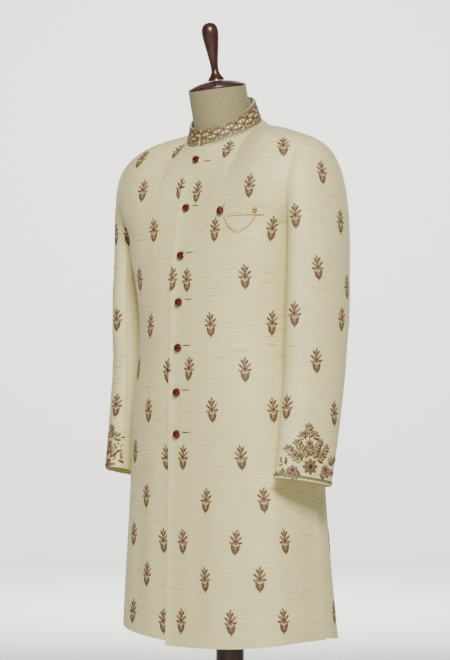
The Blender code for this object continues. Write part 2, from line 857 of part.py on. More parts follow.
def form_rings():
    """Rings of the dress form from its flat bottom to the top of its neck."""
    rings = []
    top_z = ARMPIT_Z + FORM_TOP_GAP
    for i in range(FORM_LEVELS):
        z = FORM_BOTTOM_Z + (top_z - FORM_BOTTOM_Z) * i / (FORM_LEVELS - 1)
        section = blend_rows(BODY_SECTIONS, z)
        half = min(section.front_half, section.back_half) - FORM_EASE
        rings.append(Ring(z, half, SIDE_Y, section.front_y + FORM_EASE,
                          section.back_y - FORM_EASE, section.square, 0))
    rings += FORM_SHOULDERS
    for i in range(NECK_RINGS):
        share = i / (NECK_RINGS - 1)
        z = NECK_START_Z + (NECK_TOP_Z - NECK_START_Z) * share
        middle = NECK_START_Y + (NECK_TOP_Y - NECK_START_Y) * share
        tilt = NECK_START_TILT + (CAP_TILT - NECK_START_TILT) * share
        rings.append(Ring(z, NECK_RADIUS, middle, middle - NECK_RADIUS,
                          middle + NECK_RADIUS, 2.0, tilt))
    return rings


def add_form(collection):
    shape = bmesh.new()
    loops = []
    for ring in form_rings():
        loop = []
        tilt = radians(ring.tilt)
        for i in range(FORM_SEGMENTS):
            angle = 2 * pi * i / FORM_SEGMENTS
            power = 2 / ring.square
            x = ring.half * abs(sin(angle)) ** power * (1 if sin(angle) >= 0 else -1)
            end_y = ring.front_y if cos(angle) >= 0 else ring.back_y
            y = (end_y - ring.side_y) * abs(cos(angle)) ** power
            z = ring.z + y * sin(tilt)
            loop.append(shape.verts.new((x, ring.side_y + y * cos(tilt), z)))
        loops.append(loop)
    for low, high in zip(loops, loops[1:]):
        for i in range(FORM_SEGMENTS):
            j = (i + 1) % FORM_SEGMENTS
            shape.faces.new((low[i], low[j], high[j], high[i]))
    shape.faces.new(loops[0][::-1])
    shape.faces.new(loops[-1])
    bmesh.ops.recalc_face_normals(shape, faces=shape.faces)
    mesh = bpy.data.meshes.new("form_torso")
    shape.to_mesh(mesh)
    shape.free()
    add_object(collection, "form_torso", mesh, LINEN)


def add_turned(collection, name, profile, location, tilt, finish):
    """A turned piece: its profile is swept round its own upright axis."""
    mesh = bpy.data.meshes.new(name)
    points = [(radius, 0, height) for radius, height in profile]
    edges = [(i, i + 1) for i in range(len(points) - 1)]
    mesh.from_pydata(points, edges, [])
    item = bpy.data.objects.new(name, mesh)
    item.location = location
    item.rotation_euler = (tilt, 0, 0)
    mesh.materials.append(make_material(finish))
    collection.objects.link(item)
    turn = item.modifiers.new("turning", "SCREW")
    turn.angle = 2 * pi
    turn.screw_offset = 0
    turn.steps = TURNED_STEPS
    turn.render_steps = TURNED_STEPS
    turn.use_merge_vertices = True
    turn.merge_threshold = 0.00005
    turn.use_smooth_shade = True
    return item


def add_stand(collection):
    tilt = radians(CAP_TILT)
    up = Vector((0, -sin(tilt), cos(tilt)))
    neck_top = Vector((0, NECK_TOP_Y, NECK_TOP_Z))
    cap_place = neck_top + up * SEAM_GAP
    add_turned(collection, "neck_cap", CAP_PROFILE, cap_place, tilt, WOOD)
    finial_place = cap_place + up * CAP_PROFILE[0][1]
    add_turned(collection, "finial", FINIAL_PROFILE, finial_place, tilt, WOOD)
    add_turned(collection, "base", BASE_PROFILE, (0, 0, 0), 0, WOOD)
    shape = bmesh.new()
    low, high = BASE_THICKNESS + SEAM_GAP, FORM_BOTTOM_Z - SEAM_GAP
    bmesh.ops.create_cone(shape, cap_ends=True, segments=TURNED_STEPS, radius1=POLE_RADIUS,
                          radius2=POLE_RADIUS, depth=high - low)
    bmesh.ops.translate(shape, verts=shape.verts, vec=(0, 0, (low + high) / 2))
    mesh = bpy.data.meshes.new("pole")
    shape.to_mesh(mesh)
    shape.free()
    add_object(collection, "pole", mesh, WOOD)


def main():
    clear_scene()
    collection = bpy.data.collections.new("sherwani coat on dress form")
    bpy.context.scene.collection.children.link(collection)
    add_coat(collection)
    add_collar(collection)
    add_cuff_braids(collection)
    tree = front_tree()
    add_welt(collection, tree)
    add_buttons(collection, tree)
    add_brooch(collection, tree)
    add_form(collection)
    add_stand(collection)


main()
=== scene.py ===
"""Looks of a cream raw-silk sherwani coat standing on its limbless dress form."""

import logging
import math
from dataclasses import dataclass, field, replace
from enum import Enum
from typing import Iterable, Sequence

import bmesh
import bpy
from mathutils import Matrix, Vector
from mathutils.bvhtree import BVHTree


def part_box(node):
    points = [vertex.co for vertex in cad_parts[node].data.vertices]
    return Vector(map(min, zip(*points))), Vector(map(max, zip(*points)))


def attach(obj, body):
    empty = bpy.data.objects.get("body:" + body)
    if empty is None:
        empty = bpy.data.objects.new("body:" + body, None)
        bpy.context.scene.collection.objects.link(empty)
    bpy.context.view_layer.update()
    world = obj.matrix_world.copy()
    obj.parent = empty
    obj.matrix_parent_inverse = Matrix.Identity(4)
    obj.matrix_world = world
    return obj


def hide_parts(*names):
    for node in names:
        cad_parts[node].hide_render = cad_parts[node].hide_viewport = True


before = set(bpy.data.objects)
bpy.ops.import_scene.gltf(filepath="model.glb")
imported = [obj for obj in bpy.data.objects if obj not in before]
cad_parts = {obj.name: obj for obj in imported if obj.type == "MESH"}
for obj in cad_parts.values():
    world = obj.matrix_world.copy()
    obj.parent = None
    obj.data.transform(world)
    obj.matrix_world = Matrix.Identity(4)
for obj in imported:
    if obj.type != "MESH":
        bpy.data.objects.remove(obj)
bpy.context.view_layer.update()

LOG = logging.getLogger("sherwani")
MM = 0.001
ROOT_BODY = "root"

PHOTO_WIDTH = 450
PHOTO_HEIGHT = 660
FOCAL_PIXELS = 1970.0
CAMERA_AZIMUTH = math.radians(40.0)
CAMERA_DISTANCE = 4.0
CAMERA_HEIGHT = 0.92
HORIZON_ROW = 446.0
AXIS_COLUMN = 230.0
SENSOR_HEIGHT = 36.0

BODY_AXIS_Y = -0.030
PANEL_SHARP_ANGLE = math.radians(48.0)
TURNED_SHARP_ANGLE = math.radians(52.0)
SUBDIVISION_LEVELS = 2
MOTIF_SPACING = 0.052
BUTI_FULLNESS = 1.24
CUFF_FULLNESS = 1.45
COLLAR_FULLNESS = 1.42
CUFF_STRETCH = (1.22, 1.15)
CUFF_RAISE = 5.0
CUFF_PIXEL = (310.0, 456.0)
FAR_CUFF_PIXEL = (287.0, 455.0)
SIDE_BUTI_TOP = 0.83
COLLAR_STEP = math.radians(10.6)
COLLAR_GAP = math.radians(9.0)
COLLAR_CENTRE_Y = -0.018
COLLAR_MIDDLE_DEPTH = 0.003
COLLAR_MIDDLE_Z = 1.5797
COLLAR_TILT_RISE = 0.039
COLLAR_BACK_RISE = 0.00125
COLLAR_SLOPE = 0.52
NEAR_REACH = 0.045
FLOOR_SEGMENTS = 96
WALL_RADIUS = 12.0
WALL_HEIGHT = 6.0
WALL_START = math.radians(20.0)
WALL_SWEEP = math.radians(120.0)
WALL_STEPS = 48
PANEL_GROUPS = (
    ("front_left", "front_right", "back_left", "back_right"),
    ("sleeve_left_top", "sleeve_left_under"),
    ("sleeve_right_top", "sleeve_right_under"),
    ("collar",),
    ("welt_pocket",),
)


def srgb(code: str) -> tuple[float, float, float, float]:
    """Turn an sRGB hex code into a linear colour.

    Args:
        code: Six hex digits with a leading hash sign.

    Returns:
        Linear red, green, blue and alpha.
    """
    channels = [int(code[i : i + 2], 16) / 255.0 for i in (1, 3, 5)]
    linear = [c / 12.92 if c <= 0.04045 else ((c + 0.055) / 1.055) ** 2.4 for c in channels]
    return (linear[0], linear[1], linear[2], 1.0)


def add_node(
    tree: bpy.types.NodeTree,
    kind: str,
    settings: dict[str, object] | None = None,
    inputs: dict[str | int, object] | None = None,
    links: dict[str | int, bpy.types.NodeSocket] | None = None,
) -> bpy.types.Node:
    """Add one shader node with its settings, constants and links.

    Args:
        tree: Node tree of a material or world.
        kind: Blender's node type.
        settings: Attributes of the node.
        inputs: Constants by socket name or number.
        links: Sockets that feed the node's inputs.

    Returns:
        The new node.
    """
    node = tree.nodes.new(kind)
    for key, value in (settings or {}).items():
        setattr(node, key, value)
    for key, value in (inputs or {}).items():
        node.inputs[key].default_value = value
    for key, socket in (links or {}).items():
        tree.links.new(socket, node.inputs[key])
    return node


def add_ramp(
    tree: bpy.types.NodeTree,
    factor: bpy.types.NodeSocket,
    stops: Sequence[tuple[float, tuple[float, float, float, float]]],
) -> bpy.types.NodeSocket:
    """Add a colour ramp and return its colour.

    Args:
        tree: Node tree of the material.
        factor: Socket that drives the ramp.
        stops: Positions with their linear colours, in rising order.

    Returns:
        The colour output.
    """
    ramp = add_node(tree, "ShaderNodeValToRGB", links={"Fac": factor})
    elements = ramp.color_ramp.elements
    while len(elements) < len(stops):
        elements.new(0.5)
    for element, (position, colour) in zip(elements, stops):
        element.position = position
        element.color = colour
    return ramp.outputs["Color"]


def object_noise(
    tree: bpy.types.NodeTree,
    scale: tuple[float, float, float],
    detail: float,
    rough: float = 0.5,
) -> bpy.types.NodeSocket:
    """Add noise in object coordinates.

    Args:
        tree: Node tree of the material.
        scale: Repeats a metre along each axis.
        detail: Octaves.
        rough: Share that each octave keeps.

    Returns:
        The noise value.
    """
    coords = add_node(tree, "ShaderNodeTexCoord").outputs["Object"]
    mapping = add_node(
        tree, "ShaderNodeMapping", inputs={"Scale": scale}, links={"Vector": coords}
    )
    noise = add_node(
        tree,
        "ShaderNodeTexNoise",
        inputs={"Scale": 1.0, "Detail": detail, "Roughness": rough},
        links={"Vector": mapping.outputs["Vector"]},
    )
    return noise.outputs["Fac"]


def new_material(name: str) -> tuple[bpy.types.Material, bpy.types.NodeTree, bpy.types.Node]:
    """Make a material that holds one Principled shader.

    Args:
        name: Name of the real material.

    Returns:
        The material, its tree and the shader node.
    """
    material = bpy.data.materials.new(name)
    material.use_nodes = True
    tree = material.node_tree
    return material, tree, tree.nodes["Principled BSDF"]


def add_bump(
    tree: bpy.types.NodeTree,
    height: bpy.types.NodeSocket,
    strength: float,
    distance: float,
    before: bpy.types.NodeSocket | None = None,
) -> bpy.types.NodeSocket:
    """Add a bump and return its normal.

    Args:
        tree: Node tree of the material.
        height: Height signal.
        strength: Share of the bump that shows.
        distance: Height of the relief in metres.
        before: Normal of an earlier bump.

    Returns:
        The normal output.
    """
    links = {"Height": height}
    if before is not None:
        links["Normal"] = before
    bump = add_node(
        tree, "ShaderNodeBump", inputs={"Strength": strength, "Distance": distance}, links=links
    )
    return bump.outputs["Normal"]


@dataclass(frozen=True)
class RawSilk:
    """Dupion silk: the thick and thin weft gives the eye fine level streaks and slubs.

    Attributes:
        name: Material name.
        light, mid, dark: Cream of the cloth, of its shaded yarn and of its slubs.
    """

    name: str = "raw_silk"
    light: str = "#E4DAA3"
    mid: str = "#D3C78A"
    dark: str = "#80704A"

    def build(self) -> bpy.types.Material:
        """Build the material."""
        material, tree, shader = new_material(self.name)
        weft = object_noise(tree, (30.0, 30.0, 560.0), 3.0, 0.6)
        ground = add_ramp(tree, weft, [(0.30, srgb(self.mid)), (0.62, srgb(self.light))])
        slub = object_noise(tree, (19.0, 19.0, 330.0), 2.0, 0.45)
        slub_share = add_ramp(
            tree, slub, [(0.665, (0.0, 0.0, 0.0, 1.0)), (0.74, (0.55, 0.55, 0.55, 1.0))]
        )
        mixed = add_node(
            tree,
            "ShaderNodeMix",
            settings={"data_type": "RGBA"},
            inputs={7: srgb(self.dark)},
            links={0: slub_share, 6: ground},
        )
        tree.links.new(mixed.outputs[2], shader.inputs["Base Color"])
        grain = object_noise(tree, (900.0, 900.0, 1500.0), 2.0)
        fine = add_bump(tree, grain, 0.25, 0.0002)
        streaks = add_bump(tree, weft, 0.55, 0.0004, fine)
        normal = add_bump(tree, slub, 0.5, 0.0007, streaks)
        tree.links.new(normal, shader.inputs["Normal"])
        shader.inputs["Roughness"].default_value = 0.52
        shader.inputs["IOR"].default_value = 1.46
        shader.inputs["Sheen Weight"].default_value = 0.12
        shader.inputs["Sheen Roughness"].default_value = 0.45
        return material


@dataclass(frozen=True)
class Linen:
    """Linen cover of the form: a plain weave whose crossing yarns read as fine cross-hatching.

    Attributes:
        name: Material name.
        light, dark: Colours of yarn and of the painted shade in the gaps between yarns.
    """

    name: str = "linen_cover"
    light: str = "#9A8F6C"
    dark: str = "#7E7454"

    def build(self) -> bpy.types.Material:
        """Build the material."""
        material, tree, shader = new_material(self.name)
        level = object_noise(tree, (240.0, 240.0, 2200.0), 2.0)
        upright = object_noise(tree, (2200.0, 2200.0, 240.0), 2.0)
        weave = add_node(
            tree, "ShaderNodeMath", settings={"operation": "MULTIPLY"}, links={0: level, 1: upright}
        ).outputs[0]
        # The dark end of the ramp paints shade into the gaps between the yarns.
        colour = add_ramp(tree, weave, [(0.17, srgb(self.dark)), (0.33, srgb(self.light))])
        tree.links.new(colour, shader.inputs["Base Color"])
        tree.links.new(add_bump(tree, weave, 0.5, 0.0005), shader.inputs["Normal"])
        shader.inputs["Roughness"].default_value = 0.86
        shader.inputs["Sheen Weight"].default_value = 0.15
        return material


@dataclass(frozen=True)
class DarkWalnut:
    """Stained and varnished wood: long dark grain under a satin coat.

    Attributes:
        name: Material name.
        light, dark: Colours between and along the grain lines.
        grain: Repeats a metre across and along the grain.
    """

    name: str = "dark_walnut"
    light: str = "#4A2418"
    dark: str = "#22100A"
    grain: tuple[float, float, float] = (150.0, 150.0, 14.0)

    def build(self) -> bpy.types.Material:
        """Build the material."""
        material, tree, shader = new_material(self.name)
        grain = object_noise(tree, self.grain, 5.0, 0.6)
        colour = add_ramp(tree, grain, [(0.35, srgb(self.dark)), (0.66, srgb(self.light))])
        tree.links.new(colour, shader.inputs["Base Color"])
        tree.links.new(add_bump(tree, grain, 0.2, 0.0003), shader.inputs["Normal"])
        shader.inputs["Roughness"].default_value = 0.32
        shader.inputs["Coat Weight"].default_value = 0.5
        shader.inputs["Coat Roughness"].default_value = 0.16
        return material


@dataclass(frozen=True)
class Thread:
    """Embroidery yarn: satin stitches that read as fine ribs with a soft shine.

    Attributes:
        name: Material name.
        light, dark: Colours of the yarn's crown and of the painted shade in the gaps between the
            stitches.
        metallic: Share of metal thread in the yarn.
    """

    name: str
    light: str
    dark: str
    metallic: float = 0.0

    def build(self) -> bpy.types.Material:
        """Build the material."""
        material, tree, shader = new_material(self.name)
        stitches = object_noise(tree, (1500.0, 1500.0, 420.0), 2.0, 0.6)
        # The dark end of the ramp paints shade into the gaps between the stitches.
        colour = add_ramp(tree, stitches, [(0.36, srgb(self.dark)), (0.60, srgb(self.light))])
        tree.links.new(colour, shader.inputs["Base Color"])
        tree.links.new(add_bump(tree, stitches, 0.7, 0.0004), shader.inputs["Normal"])
        shader.inputs["Roughness"].default_value = 0.48
        shader.inputs["Metallic"].default_value = self.metallic
        return material


@dataclass(frozen=True)
class Ruby:
    """Cut dark-red glass: sharp small highlights over a deep, slightly uneven body colour.

    Attributes:
        name: Material name.
        light, dark: Colours of the clear and of the deep parts.
    """

    name: str = "ruby_glass"
    light: str = "#640713"
    dark: str = "#2E0209"

    def build(self) -> bpy.types.Material:
        """Build the material."""
        material, tree, shader = new_material(self.name)
        depth = object_noise(tree, (260.0, 260.0, 260.0), 2.0)
        colour = add_ramp(tree, depth, [(0.35, srgb(self.dark)), (0.65, srgb(self.light))])
        tree.links.new(colour, shader.inputs["Base Color"])
        shader.inputs["Roughness"].default_value = 0.22
        shader.inputs["IOR"].default_value = 1.52
        return material


@dataclass(frozen=True)
class GoldPlate:
    """Gold-plated brass: warm mirror with faint hand-polish marks.

    Attributes:
        name: Material name.
        light, dark: Colours of polished and of duller plate.
    """

    name: str = "gold_plate"
    light: str = "#E2B860"
    dark: str = "#B58738"

    def build(self) -> bpy.types.Material:
        """Build the material."""
        material, tree, shader = new_material(self.name)
        marks = object_noise(tree, (700.0, 700.0, 700.0), 2.0)
        colour = add_ramp(tree, marks, [(0.35, srgb(self.dark)), (0.62, srgb(self.light))])
        tree.links.new(colour, shader.inputs["Base Color"])
        tree.links.new(add_bump(tree, marks, 0.15, 0.0001), shader.inputs["Normal"])
        shader.inputs["Metallic"].default_value = 1.0
        shader.inputs["Roughness"].default_value = 0.24
        return material


@dataclass(frozen=True)
class Plaster:
    """Matt studio plaster: a pale, barely mottled ground.

    Attributes:
        name: Material name.
        light, dark: The two close greys of its mottling.
    """

    name: str = "studio_plaster"
    light: str = "#F1F0EC"
    dark: str = "#EBE9E5"

    def build(self) -> bpy.types.Material:
        """Build the material."""
        material, tree, shader = new_material(self.name)
        mottling = object_noise(tree, (70.0, 70.0, 70.0), 4.0, 0.6)
        colour = add_ramp(tree, mottling, [(0.35, srgb(self.dark)), (0.65, srgb(self.light))])
        tree.links.new(colour, shader.inputs["Base Color"])
        tree.links.new(add_bump(tree, mottling, 0.35, 0.004), shader.inputs["Normal"])
        shader.inputs["Roughness"].default_value = 0.95
        return material


class Yarn(Enum):
    """Threads and stones of the embroidery, in the order of an object's material slots."""

    BROWN = 0
    BEIGE = 1
    ROSE = 2
    DARK = 3
    BRONZE = 4
    OLIVE = 5


@dataclass
class Finishes:
    """All materials of the scene, each built once."""

    silk: bpy.types.Material = field(init=False)
    linen: bpy.types.Material = field(init=False)
    wood: bpy.types.Material = field(init=False)
    base_wood: bpy.types.Material = field(init=False)
    ruby: bpy.types.Material = field(init=False)
    gold: bpy.types.Material = field(init=False)
    braid: bpy.types.Material = field(init=False)
    plaster: bpy.types.Material = field(init=False)
    yarns: list[bpy.types.Material] = field(init=False)

    def __post_init__(self) -> None:
        """Build every material."""
        self.silk = RawSilk().build()
        self.linen = Linen().build()
        self.wood = DarkWalnut().build()
        self.base_wood = DarkWalnut("dark_walnut_base", grain=(14.0, 150.0, 150.0)).build()
        self.ruby = Ruby().build()
        self.gold = GoldPlate().build()
        # The dark colour of the braid and of each yarn is painted shade in the gaps between the
        # stitches.
        self.braid = Thread("olive_braid", "#827C58", "#575235").build()
        self.plaster = Plaster().build()
        self.yarns = [
            Thread("brown_thread", "#70583A", "#3E2E1B").build(),
            Thread("beige_thread", "#94805A", "#655335").build(),
            Thread("dusty_rose_thread", "#98715F", "#6C463A").build(),
            Thread("maroon_thread", "#4C241D", "#2E1110").build(),
            Thread("bronze_thread", "#866E48", "#4B3A20", metallic=0.15).build(),
            Thread("olive_thread", "#8F9170", "#5C5E42").build(),
        ]


@dataclass(frozen=True)
class Crease:
    """One soft fold of hung cloth.

    Attributes:
        start, end: Ends of the fold's line in the row frame.
        depth: Height of the ridge in mm, or less than nought for a trough.
        width: Half of the fold's breadth in mm.
    """

    start: tuple[float, float, float]
    end: tuple[float, float, float]
    depth: float
    width: float

    def lift(self, point: Vector) -> float:
        """Height of the fold at a point.

        Args:
            point: Point of the cloth.

        Returns:
            Outward move in metres.
        """
        start = Vector(self.start)
        line = Vector(self.end) - start
        share = (point - start).dot(line) / line.length_squared
        if not -0.15 < share < 1.15:
            return 0.0
        held = min(1.0, max(0.0, share))
        away = (point - start - line * held).length / (self.width * MM)
        if away > 2.6:
            return 0.0
        fade = math.sin(math.pi * (share + 0.15) / 1.3) ** 0.8
        return self.depth * MM * fade * math.exp(-away * away)


@dataclass(frozen=True)
class EdgeLift:
    """Cloth that stands away from, or sinks behind, its neighbour along an open edge.

    Attributes:
        axis: 0 where the edge lies at one x, 1 where it lies at one y.
        place: The edge's own coordinate.
        depth: Outward move at the edge in mm.
        width: Distance in mm over which it fades.
        top, fade: Height of its upper end and length of the fade there, in metres.
    """

    axis: int
    place: float
    depth: float
    width: float
    top: float
    fade: float

    def lift(self, point: Vector) -> float:
        """Outward move of a point in metres."""
        away = (point[self.axis] - self.place) / (self.width * MM)
        held = min(1.0, max(0.0, (self.top - point.z) / self.fade))
        return self.depth * MM * held * held * (3.0 - 2.0 * held) * math.exp(-away * away)


EDGE_LIFTS = {
    "front_left": (
        EdgeLift(0, -0.021, 3.6, 9.0, 1.50, 0.06),
        EdgeLift(1, 0.015, 3.0, 16.0, 0.84, 0.12),
    ),
    "front_right": (EdgeLift(1, 0.015, 3.0, 16.0, 0.84, 0.12),),
    "back_left": (EdgeLift(1, 0.015, -9.0, 24.0, 0.84, 0.12),),
    "back_right": (EdgeLift(1, 0.015, -9.0, 24.0, 0.84, 0.12),),
}

BODY_CREASES = (
    Crease((0.096, -0.165, 0.95), (0.112, -0.175, 0.54), 3.2, 17),
    Crease((0.148, -0.150, 0.86), (0.152, -0.160, 0.54), -2.6, 15),
    Crease((0.050, -0.165, 0.78), (0.058, -0.175, 0.54), -2.2, 18),
    Crease((0.190, -0.090, 0.93), (0.206, -0.100, 0.54), 2.9, 17),
    Crease((-0.062, -0.165, 0.90), (-0.074, -0.175, 0.57), 2.8, 16),
    Crease((-0.108, -0.160, 0.80), (-0.122, -0.165, 0.57), -3.0, 15),
    Crease((-0.160, -0.140, 0.99), (-0.178, -0.145, 0.57), 2.4, 18),
    Crease((0.190, -0.075, 1.47), (0.166, -0.130, 1.34), -2.4, 11),
    Crease((0.168, -0.100, 1.49), (0.146, -0.140, 1.38), 1.6, 12),
    Crease((0.188, -0.090, 1.36), (0.150, -0.150, 1.27), 1.9, 10),
    Crease((-0.178, -0.085, 1.45), (-0.160, -0.125, 1.33), -2.8, 12),
    Crease((-0.150, -0.110, 1.48), (-0.128, -0.140, 1.37), 1.7, 13),
    Crease((-0.186, -0.085, 1.35), (-0.140, -0.150, 1.25), 2.2, 11),
    Crease((0.070, -0.160, 1.18), (0.150, -0.135, 1.15), 0.9, 9),
    Crease((-0.060, -0.160, 1.16), (-0.150, -0.130, 1.13), 1.0, 10),
    Crease((0.060, 0.110, 0.95), (0.070, 0.150, 0.55), 3.0, 17),
    Crease((0.126, 0.100, 0.88), (0.140, 0.130, 0.55), -3.0, 16),
    Crease((0.182, 0.060, 0.96), (0.200, 0.075, 0.55), 2.4, 18),
    Crease((-0.078, 0.110, 0.90), (-0.090, 0.150, 0.55), 2.8, 16),
    Crease((-0.136, 0.100, 0.96), (-0.152, 0.130, 0.55), -2.6, 17),
    Crease((-0.184, 0.060, 0.86), (-0.200, 0.075, 0.55), 2.8, 15),
    Crease((0.020, 0.100, 1.14), (0.120, 0.095, 1.16), 1.6, 10),
    Crease((-0.030, 0.100, 1.17), (-0.130, 0.095, 1.13), 1.3, 12),
    Crease((0.168, 0.060, 1.45), (0.140, 0.100, 1.31), -2.2, 13),
    Crease((-0.172, 0.060, 1.44), (-0.148, 0.100, 1.28), -2.6, 12),
)

SLEEVE_CREASES = (
    Crease((0.214, -0.070, 1.205), (0.286, -0.052, 1.180), 2.2, 11),
    Crease((0.210, -0.075, 1.160), (0.272, -0.085, 1.120), -1.9, 12),
    Crease((0.226, -0.078, 1.115), (0.284, -0.060, 1.100), 1.7, 10),
    Crease((0.284, -0.030, 1.330), (0.270, -0.070, 1.215), 1.5, 13),
    Crease((0.216, -0.050, 1.340), (0.236, -0.068, 1.270), -2.0, 10),
    Crease((0.258, -0.078, 1.020), (0.272, -0.100, 0.940), 1.4, 13),
    Crease((0.262, 0.020, 1.210), (0.240, 0.030, 1.120), -1.8, 12),
    Crease((0.236, 0.042, 1.330), (0.256, 0.030, 1.220), 1.6, 14),
    Crease((0.206, -0.040, 1.060), (0.212, -0.070, 0.960), -1.3, 12),
)

SLEEVE_LINE = (
    (1.328, 0.238, -0.013),
    (1.180, 0.238, -0.020),
    (1.060, 0.238, -0.036),
    (0.940, 0.237, -0.054),
    (0.850, 0.236, -0.068),
)


class CutLine(Enum):
    """Which family of creases and which centre line a piece follows."""

    BODY = "body"
    SLEEVE_LEFT = "sleeve_left"
    SLEEVE_RIGHT = "sleeve_right"
    PLAIN = "plain"


def sleeve_centre(height: float, side: float) -> Vector:
    """Centre of a sleeve at a height.

    Args:
        height: Height over the floor.
        side: 1 for the wearer's left and -1 for the right.

    Returns:
        Point on the sleeve's own line.
    """
    rows = SLEEVE_LINE
    held = min(rows[0][0], max(rows[-1][0], height))
    for (z0, x0, y0), (z1, x1, y1) in zip(rows, rows[1:]):
        if held >= z1:
            share = (z0 - held) / (z0 - z1)
            return Vector((side * (x0 + (x1 - x0) * share), y0 + (y1 - y0) * share, height))
    return Vector((side * rows[-1][1], rows[-1][2], height))


class ClothForm:
    """Outward direction and fold height of the cloth at any point."""

    def __init__(self, line: CutLine, node: str = "") -> None:
        """Choose the folds of one piece.

        Args:
            line: Family of creases.
            node: Name of the CAD node, for the lifts of its own edges.
        """
        self.line = line
        self.edges = EDGE_LIFTS.get(node, ())
        mirrored = [
            Crease(
                (-c.start[0], c.start[1], c.start[2] - 0.03),
                (-c.end[0], c.end[1], c.end[2] - 0.012),
                c.depth * 1.15,
                c.width * 0.9,
            )
            for c in SLEEVE_CREASES
        ]
        self.creases: Sequence[Crease] = {
            CutLine.BODY: BODY_CREASES,
            CutLine.SLEEVE_LEFT: SLEEVE_CREASES,
            CutLine.SLEEVE_RIGHT: mirrored,
            CutLine.PLAIN: (),
        }[line]

    def outward(self, point: Vector) -> Vector:
        """Level direction away from the piece's own centre line."""
        if self.line is CutLine.BODY:
            centre = Vector((0.55 * point.x, BODY_AXIS_Y, point.z))
        else:
            side = -1.0 if self.line is CutLine.SLEEVE_RIGHT else 1.0
            centre = sleeve_centre(point.z, side)
        away = point - centre
        away.z = 0.0
        return away.normalized()

    def move(self, point: Vector) -> Vector:
        """Point after all folds that reach it."""
        lift = sum(fold.lift(point) for fold in (*self.creases, *self.edges))
        if abs(lift) < 1e-6:
            return point
        return point + self.outward(point) * lift


@dataclass
class Refined:
    """A CAD node's own form with rounder curves: quads, creased edges and two subdivisions.

    Attributes:
        node: Name of the CAD node that it replaces.
        material: Finish of the whole piece.
        slot: Name of the material slot; not used.
        form: Folds that the cloth gets.
        sharp: Angle from which an edge stays crisp.
        levels: Subdivisions.
    """

    node: str
    material: bpy.types.Material
    slot: str
    form: ClothForm | None = None
    sharp: float = PANEL_SHARP_ANGLE
    levels: int = SUBDIVISION_LEVELS
    obj: bpy.types.Object = field(init=False)

    def build(self) -> bpy.types.Object:
        """Build the piece and let it take the node's place.

        Returns:
            The finished object.
        """
        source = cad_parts[self.node]
        bm = bmesh.new()
        bm.from_mesh(source.data)
        bmesh.ops.transform(bm, matrix=source.matrix_world, verts=bm.verts)
        bmesh.ops.remove_doubles(bm, verts=bm.verts, dist=1e-5)
        bmesh.ops.join_triangles(
            bm,
            faces=bm.faces,
            angle_face_threshold=math.radians(30.0),
            angle_shape_threshold=math.radians(50.0),
        )
        crease = bm.edges.layers.float.new("crease_edge")
        for edge in bm.edges:
            if len(edge.link_faces) != 2 or edge.calc_face_angle() > self.sharp:
                edge[crease] = 1.0
        self.obj = finished_object(bm, f"{self.node}_look", [self.material])
        subdivide(self.obj, self.levels)
        if self.form is not None:
            for vertex in self.obj.data.vertices:
                vertex.co = self.form.move(vertex.co)
        smooth_by_angle(self.obj, self.sharp)
        settle(self.obj, [self.node])
        return self.obj


def finished_object(
    bm: bmesh.types.BMesh, name: str, materials: Sequence[bpy.types.Material]
) -> bpy.types.Object:
    """Turn a bmesh into a linked object at the origin.

    Args:
        bm: Finished mesh, which is freed here.
        name: Name of the object.
        materials: Materials by slot.

    Returns:
        The new object.
    """
    mesh = bpy.data.meshes.new(name)
    bm.to_mesh(mesh)
    bm.free()
    for material in materials:
        mesh.materials.append(material)
    obj = bpy.data.objects.new(name, mesh)
    bpy.context.scene.collection.objects.link(obj)
    return obj


def subdivide(obj: bpy.types.Object, levels: int) -> None:
    """Subdivide an object for good.

    Args:
        obj: Object whose mesh is exchanged.
        levels: Number of subdivisions.
    """
    modifier = obj.modifiers.new("rounding", "SUBSURF")
    modifier.levels = levels
    modifier.render_levels = levels
    modifier.use_limit_surface = False
    depsgraph = bpy.context.evaluated_depsgraph_get()
    rounded = bpy.data.meshes.new_from_object(obj.evaluated_get(depsgraph))
    obj.modifiers.clear()
    old = obj.data
    obj.data = rounded
    bpy.data.meshes.remove(old)


def smooth_by_angle(obj: bpy.types.Object, sharp: float) -> None:
    """Shade an object smooth and keep its edges crisp.

    Args:
        obj: Object to shade.
        sharp: Angle from which an edge is crisp.
    """
    mesh = obj.data
    mesh.polygons.foreach_set("use_smooth", [True] * len(mesh.polygons))
    bm = bmesh.new()
    bm.from_mesh(mesh)
    for edge in bm.edges:
        edge.smooth = len(edge.link_faces) != 2 or edge.calc_face_angle() < sharp
    bm.to_mesh(mesh)
    bm.free()


def settle(obj: bpy.types.Object, nodes: Iterable[str] = ()) -> None:
    """Tie a finished piece to the part.

    Args:
        obj: Finished object.
        nodes: CAD nodes whose place it takes.
    """
    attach(obj, ROOT_BODY)
    if nodes:
        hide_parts(*nodes)
    LOG.info("%s: %d faces", obj.name, len(obj.data.polygons))


@dataclass(frozen=True)
class Spot:
    """A place on the cloth.

    Attributes:
        panel: Name of the panel's CAD node.
        point, normal: Place and outward direction.
    """

    panel: str
    point: Vector
    normal: Vector

    def up(self) -> Vector:
        """Upward direction in the cloth."""
        upright = Vector((0.0, 0.0, 1.0))
        return (upright - self.normal * upright.dot(self.normal)).normalized()

    def right(self) -> Vector:
        """Rightward direction in the cloth for someone who looks at it."""
        return self.up().cross(self.normal).normalized()


